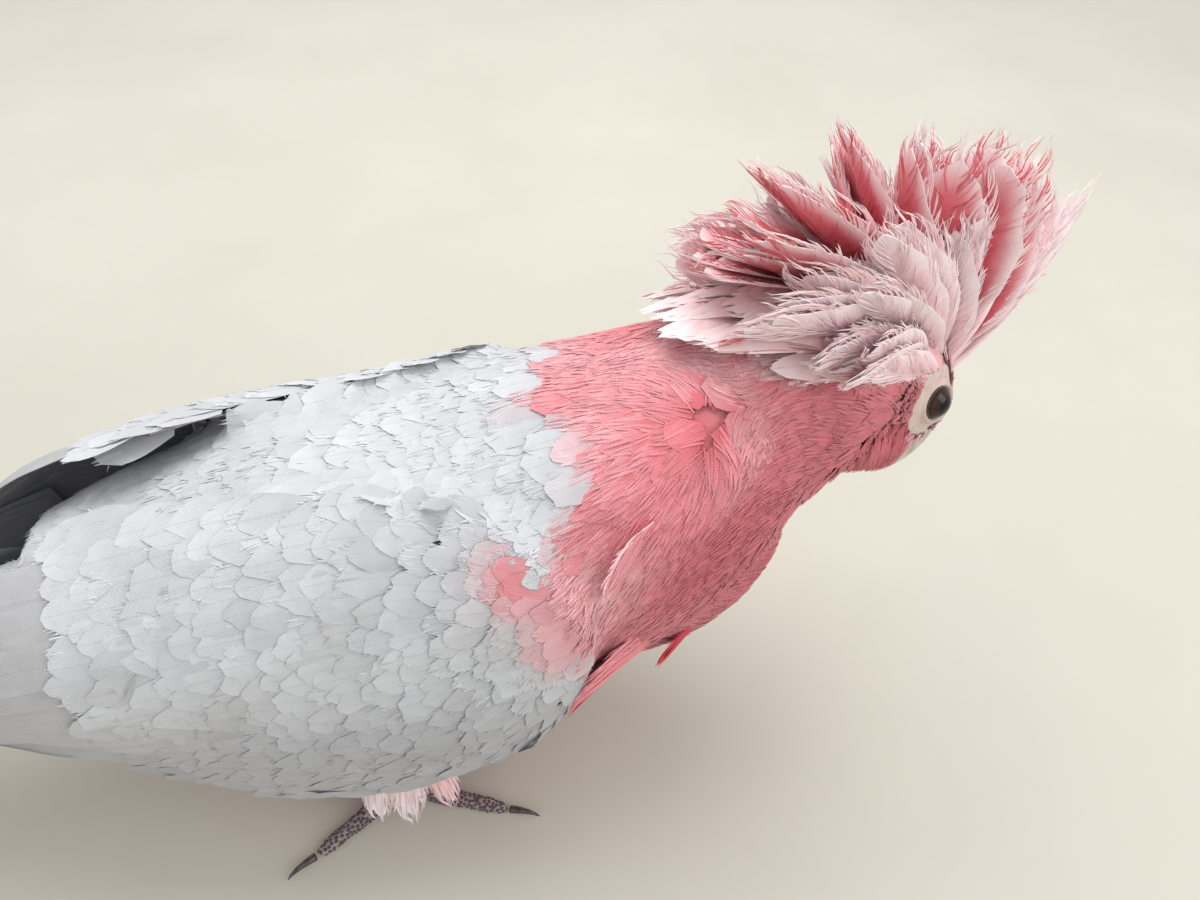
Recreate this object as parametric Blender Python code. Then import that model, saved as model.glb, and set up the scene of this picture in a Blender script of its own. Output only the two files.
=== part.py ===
"""A galah, life size, as a still model: crouched on both feet, neck stretched, head bowed, crest raised.

Units are metres. The bird faces +X, its left side is +Y, and it stands on z = 0.
Each sub-part is one closed solid, and neighbours keep a gap of GAP.
"""

import math

import bmesh
import bpy
import numpy as np
from mathutils import Matrix, Vector

MM = 0.001
GAP = 0.3 * MM

# Driving dimensions, in metres unless a name says otherwise.
TRUNK_FROM_ORIGIN = Vector((0.0214, 0.0, 0.0))  # the middle of the trunk, seen from the frame's origin
TRUNK_SIDES = 26
HEAD_PITCH = -41.0  # degrees, nose down
HEAD_YAW = -4.0  # degrees, towards the right
HEAD_ROLL = -21.0  # degrees, the right cheek turned up
EYE_RADIUS = 5.0 * MM
EYE_FORWARD = 4.6 * MM
EYE_UP = 3.2 * MM
EYE_SIDE = 12.6 * MM
EYE_SEGMENTS = 14
TAIL_ROOT = Vector((-0.078, 0.0, 0.074))
TAIL_SLOPE = -9.0  # degrees
TAIL_LENGTH = 0.146
TAIL_FEATHERS_A_SIDE = 6
TAIL_VANE_WIDTH = 21 * MM
TAIL_FIRST_SPREAD = 1.2  # degrees from the middle line
TAIL_SPREAD_STEP = 2.0  # degrees more for each feather outwards
TAIL_GRADATION = 0.022  # share of its length that each feather is shorter than the last
TAIL_ROOT_DEPTH = 3 * MM  # how far each tail vane starts inside the body before it is cut back
CLAW_LENGTH = 9.5 * MM

# The body from tail to face. Each row is one cross-section:
# x, y and z of its centre, pitch of its plane in degrees, half width, height above and depth below.
BODY_STATIONS = {
    "tail base": (-78, 0, 75, -9, 23, 15, 21),
    "vent": (-56, 0, 74, -5, 33, 25, 32),
    "belly": (-20, 0, 74, 0, 38, 38, 41),
    "breast": (20, 0, 77, 5, 39, 40, 48),
    "shoulder": (48, 0, 84, 15, 40, 40, 54),
    "neck base": (72, 0, 94, 24, 36, 35, 50),
    "neck": (92, 0.5, 104, 12, 30, 29, 39),
    "nape": (106, 1, 112, -8, 25, 24, 31),
    "cheek": (117, 1.5, 114, -25, 21.5, 21.5, 26),
    "brow": (127, 2, 111, -41, 17.5, 19, 21),
    "forehead": (133.5, 1.6, 105.2, -41, 15, 15.5, 17),
    "face": (138.4, 1.2, 101, -41, 11, 11, 12),
}
# Where along the body the head's yaw and roll begin, and where they are whole.
TURN_BEGINS = "neck base"
TURN_WHOLE = "brow"
STATION_NAMES = list(BODY_STATIONS)


def clear_scene():
    for obj in list(bpy.data.objects):
        bpy.data.objects.remove(obj)


def material(name, colour, roughness=0.8, metallic=0.0):
    made = bpy.data.materials.new(name)
    made.use_nodes = True
    shader = made.node_tree.nodes["Principled BSDF"]
    shader.inputs["Base Color"].default_value = (*colour, 1.0)
    shader.inputs["Roughness"].default_value = roughness
    shader.inputs["Metallic"].default_value = metallic
    return made


def add_object(name, mesh, finish, parent):
    mesh.name = name
    mesh.materials.append(finish)
    mesh.shade_smooth()
    mesh.set_sharp_from_angle(angle=math.radians(50))
    obj = bpy.data.objects.new(name, mesh)
    bpy.context.scene.collection.objects.link(obj)
    obj.parent = parent
    return obj


def mesh_of_rings(rings, flat=False):
    """A closed mesh through rings of points. Its ends are fans round their middles.

    With `flat`, a ring is the two long sides of a thin section, and its end is a strip between them.
    """
    rings = [np.asarray(ring, float) for ring in rings]
    sides = len(rings[0])
    made = bmesh.new()
    loops = [[made.verts.new(point) for point in ring] for ring in rings]
    for near, far in zip(loops, loops[1:]):
        for i in range(sides):
            j = (i + 1) % sides
            made.faces.new((near[i], near[j], far[j], far[i]))
    for loop, ring in ((loops[0], rings[0]), (loops[-1], rings[-1])):
        if flat:
            for i in range(sides // 2 - 1):
                made.faces.new((loop[i], loop[i + 1], loop[sides - 2 - i], loop[sides - 1 - i]))
            continue
        middle = made.verts.new(ring.mean(axis=0))
        for i in range(sides):
            made.faces.new((loop[i], loop[(i + 1) % sides], middle))
    bmesh.ops.recalc_face_normals(made, faces=made.faces)
    mesh = bpy.data.meshes.new("rings")
    made.to_mesh(mesh)
    made.free()
    return mesh


def smooth_rows(rows, at):
    """Rows of numbers read at the places `at`, on a smooth curve through them (Catmull-Rom)."""
    rows = np.asarray(rows, float)
    padded = np.vstack([2 * rows[0] - rows[1], rows, 2 * rows[-1] - rows[-2]])
    out = []
    for place in np.atleast_1d(at):
        i = min(int(place), len(rows) - 2)
        t = place - i
        a, b, c, d = padded[i : i + 4]
        out.append(
            0.5 * (2 * b + (c - a) * t + (2 * a - 5 * b + 4 * c - d) * t**2 + (3 * b - a - 3 * c + d) * t**3)
        )
    return np.array(out)


# ---- Trunk, neck and head: one smooth body, parted at thin cuts across it ----


def turned(place):
    """The share of the head's yaw and roll that the body has taken at a place, as a rotation."""
    begin, whole = STATION_NAMES.index(TURN_BEGINS), STATION_NAMES.index(TURN_WHOLE)
    share = min(max((place - begin) / (whole - begin), 0.0), 1.0)
    share = share * share * (3 - 2 * share)
    return share * math.radians(HEAD_YAW), share * math.radians(HEAD_ROLL)


def section_axes(pitch, yaw, roll):
    """Forward, left and up at a cross-section, from its angles in radians."""
    forward = np.array((math.cos(pitch) * math.cos(yaw), math.cos(pitch) * math.sin(yaw), math.sin(pitch)))
    level = np.array((-math.sin(yaw), math.cos(yaw), 0.0))
    upright = np.cross(forward, level)
    left = level * math.cos(roll) + upright * math.sin(roll)
    return forward, left, np.cross(forward, left)


def body_ring(place, grow=0.0, sides=TRUNK_SIDES):
    """The body's cross-section at a place counted in stations, `grow` larger all round."""
    x, y, z, pitch, half, up, down = smooth_rows(list(BODY_STATIONS.values()), place)[0]
    _, left, upward = section_axes(math.radians(pitch), *turned(place))
    centre = np.array((x, y, z)) * MM
    ring = []
    for i in range(sides):
        angle = 2 * math.pi * i / sides
        rise = math.sin(angle)
        height = (up if rise > 0 else down) * MM + grow
        side = half * MM + grow
        ring.append(centre + left * side * math.cos(angle) + upward * height * rise)
    return np.array(ring)


def body_length(first, last, steps, grow=0.0):
    start, end = STATION_NAMES.index(first), STATION_NAMES.index(last)
    return [body_ring(place, grow) for place in np.linspace(start, end, steps)]


def shifted_end(rings, edge, distance):
    """Moves the first (0) or last (-1) ring outwards along the body by a distance."""
    inner = 1 if edge == 0 else -2
    away = rings[edge].mean(axis=0) - rings[inner].mean(axis=0)
    rings[edge] = rings[edge] + away / np.linalg.norm(away) * distance
    return rings


def body_clearance():
    """The whole body, larger by GAP on every side, for what grows on it to be cut back to."""
    rings = body_length("tail base", "face", 36, grow=GAP)
    return mesh_of_rings(shifted_end(shifted_end(rings, 0, GAP), -1, GAP))


def make_body(parts, plumage):
    spans = {
        "rump": ("tail base", "belly", 7),
        "trunk": ("belly", "neck base", 10),
        "neck": ("neck base", "nape", 7),
        "head": ("nape", "face", 10),
    }
    for name, (first, last, steps) in spans.items():
        rings = body_length(first, last, steps)
        if name != "head":
            shifted_end(rings, -1, -GAP)
        parts[name] = add_object(name, mesh_of_rings(rings), plumage[name], parts["bird"])


# ---- The head's own frame, which the eyes, bill and crest are set in ----


def head_frame():
    """A matrix whose +X runs out along the bill's root, +Y to the left eye, from the brow's centre."""
    angles = (math.radians(value) for value in (HEAD_PITCH, HEAD_YAW, HEAD_ROLL))
    axes = np.array(section_axes(*angles)).T
    centre = Vector(BODY_STATIONS["brow"][:3]) * MM
    return Matrix.Translation(centre) @ Matrix(axes.tolist()).to_4x4()


def cut(target, cutter):
    """Takes the cutter's shape out of the target."""
    cutter.hide_render = True
    cutter.display_type = "WIRE"
    modifier = target.modifiers.new(f"cut_{cutter.name}", "BOOLEAN")
    modifier.operation = "DIFFERENCE"
    modifier.solver = "EXACT"
    modifier.object = cutter
    return modifier


def join(target, other):
    """Adds the other's shape to the target."""
    other.hide_render = True
    other.display_type = "WIRE"
    modifier = target.modifiers.new(f"join_{other.name}", "BOOLEAN")
    modifier.operation = "UNION"
    modifier.solver = "EXACT"
    modifier.object = other
    return modifier


def ball(radius, segments=EYE_SEGMENTS):
    made = bmesh.new()
    bmesh.ops.create_uvsphere(made, u_segments=segments, v_segments=segments // 2, radius=radius)
    mesh = bpy.data.meshes.new("ball")
    made.to_mesh(mesh)
    made.free()
    return mesh


def make_eyes(parts, finish):
    frame = head_frame()
    for side, sign in (("left", 1), ("right", -1)):
        place = frame @ Vector((EYE_FORWARD, sign * EYE_SIDE, EYE_UP))
        eye = add_object(f"eye_{side}", ball(EYE_RADIUS), finish, parts["bird"])
        eye.location = place
        socket = add_object(f"cutter_socket_{side}", ball(EYE_RADIUS + GAP), finish, parts["bird"])
        socket.location = place
        cut(parts["head"], socket)
        parts[eye.name] = eye


# ---- Bill: a deep hooked upper half over a short scoop of a lower half ----

BILL_ROOT_FORWARD = 12.0 * MM  # from the brow's centre to the face, along the head
BILL_WIDTH = 15.0 * MM
BILL_SIDES = 12


def hooked_rings(path, steps):
    """Rings across a bent horn. Each row of the path: forward, up, turn in degrees, half width, half depth."""
    rings = []
    for forward, up, turn, half, deep in smooth_rows(path, np.linspace(0, len(path) - 1, steps)):
        tilt = math.radians(turn)
        centre = np.array((forward, 0.0, up)) * MM
        across = np.array((0.0, 1.0, 0.0)) * half * MM
        upward = np.array((-math.sin(tilt), 0.0, math.cos(tilt))) * deep * MM
        angles = [2 * math.pi * i / BILL_SIDES for i in range(BILL_SIDES)]
        rings.append([centre + across * math.cos(a) + upward * math.sin(a) for a in angles])
    return rings


def make_bill(parts, horn, clearance):
    frame = head_frame()
    half = BILL_WIDTH / MM / 2
    upper = [
        (0.0, 3.2, -10, half, 8.2),
        (5.0, 1.0, -28, half * 0.93, 7.6),
        (9.6, -4.0, -55, half * 0.72, 6.3),
        (11.2, -10.5, -82, half * 0.46, 4.3),
        (10.0, -16.5, -105, half * 0.24, 2.2),
        (8.4, -20.2, -115, half * 0.08, 0.7),
    ]
    lower = [
        (0.0, -9.3, -35, half * 0.80, 3.7),
        (2.6, -11.6, -40, half * 0.72, 3.4),
        (5.0, -13.6, -40, half * 0.50, 2.4),
        (6.4, -14.9, -40, half * 0.22, 1.0),
    ]
    for name, path, steps in (("bill_upper", upper, 11), ("bill_lower", lower, 7)):
        bill = add_object(name, mesh_of_rings(hooked_rings(path, steps)), horn, parts["bird"])
        bill.matrix_local = frame @ Matrix.Translation((BILL_ROOT_FORWARD, 0, 0))
        cut(bill, clearance)
        parts[name] = bill


# ---- Feather blades: a cambered vane that tapers to a round tip ----


def blade_mesh(length, width, thick, curl, camber, root_share=0.3, steps=5, tip=0.62):
    """A solid vane along +X, its face towards +Z. `curl` lifts its tip, `camber` its midrib."""
    columns = (-1.0, -0.4, 0.4, 1.0)
    tops, bottoms = [], []
    for i in range(steps + 1):
        s = i / steps
        widen = root_share + (1 - root_share) * math.sin(min(s / tip, 1.0) * math.pi / 2)
        narrow = math.sqrt(max(1 - max((s - tip) / (1 - tip), 0.0) ** 2, 0.0))
        half = width / 2 * max(widen * narrow, 0.14)
        rise = curl * s * s
        for row, offset in ((tops, 0.0), (bottoms, -thick)):
            row.append(
                [(s * length, c * half, rise + camber * half * (1 - c * c) + offset) for c in columns]
            )
    rings = [list(top) + list(reversed(bottom)) for top, bottom in zip(tops, bottoms)]
    return mesh_of_rings(rings, flat=True)


def aim(root, direction, face):
    """A matrix that sets +X along the direction and turns +Z towards the face, at the root."""
    along = Vector(direction).normalized()
    across = Vector(face).cross(along).normalized()
    normal = along.cross(across)
    turn = Matrix((along, across, normal)).transposed().to_4x4()
    return Matrix.Translation(root) @ turn


# ---- Crest: rows of long vanes standing on the crown ----

CREST_THICK = 0.8 * MM
# Each row of vanes, front to back: place along the head and height on it, lean from straight ahead
# in degrees, length and width in millimetres.
CREST_ROWS = [
    (8.0, 17.0, 92, 49, 15),
    (1.0, 19.5, 109, 42, 17),
    (-6.0, 20.5, 129, 36, 18),
    (-14.0, 21.0, 157, 37, 19),
    (-23.0, 19.0, 194, 43, 20),
]
# The outer vanes stand between two rows: how far out and behind their roots are, and how they turn.
CREST_SIDE_STEP = 7 * MM
CREST_BACK_STEP = 4 * MM
CREST_SIDE_LEAN = 9  # degrees more than the row's middle vane
CREST_SPLAY = 14  # degrees outwards
CREST_SIDE_TILT = 0.22  # how far an outer vane's face turns outwards, as a slope
CREST_SIDE_SHARE = 0.9
CREST_CURL_SHARE = 0.10
CREST_ROOT_DEPTH = 3 * MM


def make_crest(parts, vane, clearance):
    frame = head_frame()
    for row, (forward, up, lean, length, width) in enumerate(CREST_ROWS, start=1):
        for name, side in (("left", 1), ("middle", 0), ("right", -1)):
            angle = math.radians(lean + CREST_SIDE_LEAN * abs(side))
            spread = math.radians(CREST_SPLAY) * side
            direction = Vector(
                (math.cos(angle) * math.cos(spread), math.sin(spread), math.sin(angle) * math.cos(spread))
            )
            face = Vector((math.sin(angle), 0.0, -math.cos(angle)))
            size = length * MM * (CREST_SIDE_SHARE if side else 1.0)
            root = Vector((forward * MM, side * CREST_SIDE_STEP, up * MM - CREST_ROOT_DEPTH))
            root -= face * CREST_BACK_STEP * abs(side)
            mesh = blade_mesh(size, width * MM, CREST_THICK, CREST_CURL_SHARE * size, 0.2)
            blade = add_object(f"crest_{row}_{name}", mesh, vane, parts["bird"])
            blade.matrix_local = frame @ aim(root, direction, face + Vector((0, CREST_SIDE_TILT * side, 0)))
            cut(blade, clearance)
            parts[blade.name] = blade


# ---- Wings: a folded shell over the flank, in covert, secondary and primary parts ----

# Each station from the bend of the wing to its tip: x, then y and z of the upper and of the lower edge,
# bulge outwards and thickness.
WING_STATIONS = [
    (49, 36, 86, 39, 73, 1.5, 3),
    (45, 31, 95, 43, 60, 5, 8),
    (32, 22, 106, 47, 49, 9, 10),
    (5, 15, 110, 49, 41, 12, 10),
    (-30, 11, 108, 45, 45, 12, 9),
    (-65, 8, 99, 34, 58, 9, 7),
    (-105, 6, 88, 25, 62, 6, 5),
    (-150, 5, 77, 19, 60, 3, 4),
    (-190, 6, 67, 15, 57, 1.5, 3),
    (-213, 9, 61, 13, 56, 0.5, 1.5),
]
WING_EDGE = 1.9 * MM  # thickness over the body where the wing's upper edge lies on it
CHORD_ALLOWANCE = 1.2 * MM  # how far a flat facet may dip below the round body it lies on
LEAN_ALLOWANCE = 16 * MM  # how far ahead the body's leaning sections reach at their lower side


def clear_of_body(point, least):
    """The point in metres, moved out from the body's middle line until it is `least` outside the body."""
    rows = smooth_rows(list(BODY_STATIONS.values()), np.linspace(0, STATION_NAMES.index("neck base"), 60))
    if point[0] < rows[0][0] * MM:
        return point
    spots = (point[0], point[0] + LEAN_ALLOWANCE)
    half, up, down = (np.interp(spots, rows[:, 0] * MM, rows[:, i] * MM).max() for i in (4, 5, 6))
    middle = np.interp(point[0], rows[:, 0] * MM, rows[:, 2] * MM)
    height = up if point[2] > middle else down
    away = np.array((0.0, point[1] / half, (point[2] - middle) / height))
    reach = np.linalg.norm(away)
    wanted = 1 + least / min(half, height)
    if reach >= wanted:
        return point
    return np.array((point[0], point[1] * wanted / reach, middle + (point[2] - middle) * wanted / reach))


def wing_point(station, share, depth):
    """A point on the wing: `share` runs from its upper edge to its lower, `depth` in from its outside."""
    x, y_up, z_up, y_low, z_low, bulge, thick = station
    upper = np.array((y_up, z_up))
    lower = np.array((y_low, z_low))
    chord = lower - upper
    outward = np.array((-chord[1], chord[0])) / np.linalg.norm(chord)
    arch = 4 * share * (1 - share)
    rounding = math.sqrt(max(1 - (2 * share - 1) ** 4, 0.04))
    y, z = upper + chord * share + outward * (bulge * arch - depth * thick * rounding)
    least = GAP + CHORD_ALLOWANCE + (1 - depth) * WING_EDGE
    return clear_of_body(np.array((x, y, z)) * MM, least)


def wing_rings(places, shares, mirror):
    rings = []
    for place in places:
        station = smooth_rows(WING_STATIONS, place)[0]
        outer = [wing_point(station, share, 0.0) for share in shares]
        inner = [wing_point(station, share, 1.0) for share in reversed(shares)]
        rings.append(np.array(outer + inner) * (1, mirror, 1))
    return rings


def make_wings(parts, greys):
    # Places counted in stations, and shares from the upper edge to the lower: thin gaps part the pieces.
    arm = np.linspace(0, 4.4, 12)
    hand = np.linspace(4.42, 6.6, 6)
    tip = np.linspace(6.62, 9, 6)
    upper = np.linspace(0.0, 0.575, 6)
    lower = np.linspace(0.59, 1.0, 5)
    pieces = {
        "coverts": (arm, np.linspace(0, 1, 9)),
        "secondaries": (hand, upper),
        "primaries": (np.concatenate([hand, tip]), lower),
        "wing_tip": (tip, upper),
    }
    for side, mirror in (("left", 1), ("right", -1)):
        for piece, (places, shares) in pieces.items():
            mesh = mesh_of_rings(wing_rings(places, shares, mirror), flat=True)
            wing = add_object(f"wing_{side}_{piece}", mesh, greys[piece], parts["bird"])
            parts[wing.name] = wing


# ---- Tail: a narrow fan of vanes, each under the one nearer the middle, between two pads of coverts ----


def tail_frame():
    return Matrix.Translation(TAIL_ROOT) @ Matrix.Rotation(math.radians(TAIL_SLOPE), 4, "Y")


def make_tail(parts, grey, clearance):
    thick = 0.55 * MM
    for side, sign in (("left", 1), ("right", -1)):
        for i in range(TAIL_FEATHERS_A_SIDE):
            spread = math.radians(TAIL_FIRST_SPREAD + TAIL_SPREAD_STEP * i) * sign
            length = TAIL_LENGTH * (1 - TAIL_GRADATION * i)
            mesh = blade_mesh(length, TAIL_VANE_WIDTH, thick, -4 * MM, 0.02, root_share=0.45, steps=4, tip=0.86)
            blade = add_object(f"tail_{side}_{i + 1}", mesh, grey, parts["bird"])
            level = -(2 * i + (sign < 0)) * (thick + 1.5 * GAP)
            away = Vector((-math.cos(spread), math.sin(spread), 0.0))
            root = (TAIL_ROOT_DEPTH, sign * 1.5 * MM, level)
            blade.matrix_local = tail_frame() @ aim(root, away, (0, 0, 1))
            cut(blade, clearance)
            parts[blade.name] = blade


# ---- Legs: a feathered thigh, and a bare foot with two toes ahead and two behind ----

FOOT_CENTRE = Vector((-0.003, 0.031, 0.0046))  # the left foot's, mirrored for the right
ANKLE = Vector((-0.020, 0.028, 0.026))
THIGH_TOP = Vector((0.004, 0.023, 0.052))
LIMB_SIDES = 8
# Each toe: the way it points in degrees outwards from straight ahead, and its length.
TOES = {"inner": (-12, 0.024), "middle": (22, 0.031), "outer": (148, 0.027), "hind": (196, 0.016)}
TOE_RADIUS = 2.8 * MM
TOE_TIP_RADIUS = 2.0 * MM
TARSUS_RADIUS = 3.2 * MM
CLAW_STEPS = 4
CLAW_CLEARANCE = 1.0 * MM  # from the toe's end to the middle of the claw's root, which leans back


def limb_mesh(points, radii, grow=0.0):
    """A round limb through points, in rings square to it."""
    points = [Vector(point) for point in points]
    rings = []
    for i, (point, radius) in enumerate(zip(points, radii)):
        along = (points[min(i + 1, len(points) - 1)] - points[max(i - 1, 0)]).normalized()
        side = along.orthogonal() if abs(along.z) > 0.95 else along.cross(Vector((0, 0, 1)))
        side.normalize()
        upward = side.cross(along)
        rings.append(
            [
                point + (side * math.cos(a) + upward * math.sin(a)) * (radius + grow)
                for a in (2 * math.pi * (k + 0.5) / LIMB_SIDES for k in range(LIMB_SIDES))
            ]
        )
    return mesh_of_rings(rings)


def toe_path(side, way, length):
    """The middle line of a toe: it lies along the floor with a slight arch at each joint."""
    heading = math.radians(way)
    ahead = Vector((math.cos(heading), side * math.sin(heading), 0.0))
    points, radii = [], []
    for share, bulge in ((0.0, 1.0), (0.42, 1.0), (0.62, 0.9), (0.85, 0.98), (1.0, 0.62)):
        radius = (TOE_RADIUS + (TOE_TIP_RADIUS - TOE_RADIUS) * share) * bulge
        centre = Vector((FOOT_CENTRE.x, side * FOOT_CENTRE.y, 0.0)) + ahead * length * share
        centre.z = FOOT_CENTRE.z + (radius * 0.86 - FOOT_CENTRE.z) * min(share / 0.42, 1.0)
        points.append(centre)
        radii.append(radius)
    return points, radii


def claw_mesh(points, side, way):
    """A hooked claw that leaves the end of a toe and stops just above the floor."""
    heading = math.radians(way)
    ahead = Vector((math.cos(heading), side * math.sin(heading), 0.0))
    path, radii = [], []
    for step in range(CLAW_STEPS + 1):
        share = step / CLAW_STEPS
        reach = CLAW_LENGTH * (0.92 * math.sin(share * 1.35) / math.sin(1.35))
        lift = 1.7 * MM + 1.6 * MM * math.sin(share * 2.4) - 2.0 * MM * share**2
        path.append(Vector((points[-1].x, points[-1].y, 0.0)) + ahead * (reach + CLAW_CLEARANCE) + Vector((0, 0, lift)))
        radii.append(1.25 * MM * (1 - 0.78 * share))
    return limb_mesh(path, radii)


def make_legs(parts, down, skin, horn, clearance):
    for name, side in (("left", 1), ("right", -1)):
        mirror = Vector((1, side, 1))
        foot_at, ankle, top = (FOOT_CENTRE * mirror, ANKLE * mirror, THIGH_TOP * mirror)
        knee = ankle + (top - ankle) * 0.12
        thigh_path = [ankle + (ankle - knee) * 1.2, ankle, ankle.lerp(top, 0.3), ankle.lerp(top, 0.65), top]
        thigh_radii = [2.5 * MM, 5.5 * MM, 8.0 * MM, 10.5 * MM, 11.5 * MM]
        thigh = add_object(f"thigh_{name}", limb_mesh(thigh_path, thigh_radii), down, parts["bird"])
        cut(thigh, clearance)
        tarsus_path = [foot_at, foot_at.lerp(ankle, 0.3), foot_at.lerp(ankle, 0.7), ankle]
        tarsus_radii = [TARSUS_RADIUS, TARSUS_RADIUS * 0.86, TARSUS_RADIUS * 0.9, TARSUS_RADIUS]
        foot = add_object(f"foot_{name}", limb_mesh(tarsus_path, tarsus_radii), skin, parts["bird"])
        socket = add_object(
            f"cutter_tarsus_{name}", limb_mesh(tarsus_path, tarsus_radii, grow=GAP), skin, parts["bird"]
        )
        socket.location = (ankle - foot_at).normalized() * GAP
        cut(thigh, socket)
        for toe, (way, length) in TOES.items():
            points, radii = toe_path(side, way, length)
            piece = add_object(f"cutter_toe_{name}_{toe}", limb_mesh(points, radii), skin, parts["bird"])
            join(foot, piece)
            claw = add_object(f"claw_{name}_{toe}", claw_mesh(points, side, way), horn, parts["bird"])
            parts[claw.name] = claw
        floor_rings = [
            [(x, y, z) for x, y in ((-0.2, -0.2), (0.2, -0.2), (0.2, 0.2), (-0.2, 0.2))] for z in (-0.02, 0.0)
        ]
        floor = add_object(f"cutter_floor_{name}", mesh_of_rings(floor_rings), skin, parts["bird"])
        cut(foot, floor)
        parts[thigh.name], parts[foot.name] = thigh, foot


# ---- Tail coverts: a tapering pad over the roots of the tail, and a deeper one under them ----

# Each pad: the level of its face against the tail, then its height there and at its end, its half width,
# and its length in metres.
TAIL_PADS = {
    "tail_coverts_upper": (1.6, 8, 1.2, 9.5, 0.045),
    "tail_coverts_under": (-13.2, -14.5, -1.2, 18, 0.062),
}


def make_tail_coverts(parts, grey, clearance):
    for name, (level, height, end_height, half_width, length) in TAIL_PADS.items():
        rings = []
        for share in np.linspace(0, 1, 6):
            half = half_width * MM * (1 - 0.45 * share**2)
            rise = (height + (end_height - height) * share**0.8) * MM
            angles = np.linspace(0, math.pi, 9)
            arch = [(-share * length, half * math.cos(a), level * MM + rise * math.sin(a)) for a in angles]
            base = [(x, y, level * MM) for x, y, _ in reversed(arch[1:-1])]
            rings.append([*arch, *base])
        pad = add_object(name, mesh_of_rings(rings), grey, parts["bird"])
        pad.matrix_local = tail_frame() @ Matrix.Translation((6 * MM, 0, 0))
        cut(pad, clearance)
        parts[name] = pad


def main():
    clear_scene()
    bird = bpy.data.objects.new("bird", None)
    bpy.context.scene.collection.objects.link(bird)
    bird.location = TRUNK_FROM_ORIGIN
    parts = {"bird": bird}
    rose = material("rose plumage", (0.80, 0.25, 0.30))
    pale = material("pale rose plumage", (0.88, 0.66, 0.66))
    grey = material("grey plumage", (0.62, 0.62, 0.64))
    slate = material("slate plumage", (0.20, 0.20, 0.22))
    horn = material("bill horn", (0.70, 0.66, 0.58), 0.45)
    foot_skin = material("foot skin", (0.30, 0.26, 0.27), 0.7)
    black = material("eye", (0.01, 0.01, 0.012), 0.08)
    make_body(parts, {"rump": grey, "trunk": rose, "neck": rose, "head": rose})
    clearance = add_object("cutter_body", body_clearance(), rose, bird)
    make_eyes(parts, black)
    make_bill(parts, horn, clearance)
    make_crest(parts, pale, clearance)
    make_wings(parts, {"coverts": grey, "secondaries": grey, "primaries": slate, "wing_tip": slate})
    make_tail(parts, slate, clearance)
    make_tail_coverts(parts, grey, clearance)
    make_legs(parts, rose, foot_skin, horn, clearance)


main()
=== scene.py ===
import math

import bmesh
import bpy
import numpy as np
from mathutils import Matrix, Vector
from mathutils.bvhtree import BVHTree
from mathutils.kdtree import KDTree


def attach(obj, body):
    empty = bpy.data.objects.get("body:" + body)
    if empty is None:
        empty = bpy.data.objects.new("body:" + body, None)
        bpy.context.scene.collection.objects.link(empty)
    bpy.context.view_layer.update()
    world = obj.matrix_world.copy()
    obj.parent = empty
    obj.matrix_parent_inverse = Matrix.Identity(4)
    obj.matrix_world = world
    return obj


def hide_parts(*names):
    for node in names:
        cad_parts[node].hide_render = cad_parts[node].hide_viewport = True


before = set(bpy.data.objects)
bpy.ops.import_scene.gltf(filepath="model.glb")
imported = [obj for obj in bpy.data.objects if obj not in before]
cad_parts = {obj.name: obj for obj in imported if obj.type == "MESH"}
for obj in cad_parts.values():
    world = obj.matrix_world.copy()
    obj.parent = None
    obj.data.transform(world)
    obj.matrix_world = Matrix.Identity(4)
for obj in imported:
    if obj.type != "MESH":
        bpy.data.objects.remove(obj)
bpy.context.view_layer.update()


# ---- Skin ----
# The galah's hide over its trunk, neck, head, thighs and folded arms, pale pink with the plumage's own
# markings. It is one closed surface, grown together from the body's solids, that lies under them by the
# depth of the coat.

MM = 0.001
FLESH = {
    "trunk": 3.0, "rump": 2.8, "neck": 3.0, "head": 1.3,
    "thigh_left": 1.8, "thigh_right": 1.8, "wing_left_coverts": 1.5, "wing_right_coverts": 1.5,
    "tail_coverts_upper": 1.8, "tail_coverts_under": 2.2,
}  # fmt: skip
FACE_COAT = 0.9  # the coat's depth on the face, less than on the rest of the head
SKIN_VOXEL = 1.6 * MM
SKIN_BRIDGE = 0.5 * MM  # closes the thin gaps between the solids before they grow together
HEAD_CENTRE = np.array((148.4, 2.0, 111.0))
HEAD_TURN = (-41.0, -4.0, -21.0)  # degrees: nose down, towards the right, right cheek up
WHORL = np.array((97.0, 19.0, 124.0))  # on the neck, on both sides

ROSE_DEEP = (210, 105, 116)
ROSE = (236, 148, 155)
ROSE_LIGHT = (248, 192, 198)
CORAL = (242, 124, 134)
CHEEK = (207, 104, 115)
BLUSH = (243, 208, 210)
CHALK = (250, 232, 230)
PEARL = (216, 219, 224)
PEARL_SHADE = (196, 198, 203)
DOVE = (196, 196, 199)
DOVE_SHADE = (158, 157, 161)
SLATE = (112, 114, 121)
SLATE_DARK = (64, 66, 74)


def paint(colour):
    """A display colour of 0 to 255 as linear light."""
    return (np.array(colour, float) / 255) ** 2.2


def ink(colour):
    return (*paint(colour), 1)


def rise(value, low, high):
    """0 below low, 1 above high, and smooth between them."""
    share = np.clip((np.asarray(value, float) - low) / (high - low), 0, 1)
    return share * share * (3 - 2 * share)


def mixed(first, second, share):
    share = np.asarray(share)[..., None]
    return first * (1 - share) + second * share


def unit(vectors):
    return vectors / np.maximum(np.linalg.norm(vectors, axis=-1, keepdims=True), 1e-12)


def flattened(ways, normals):
    """The ways with no part along the normals, so that they run along the skin."""
    return unit(ways - normals * np.sum(ways * normals, axis=1, keepdims=True))


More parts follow.
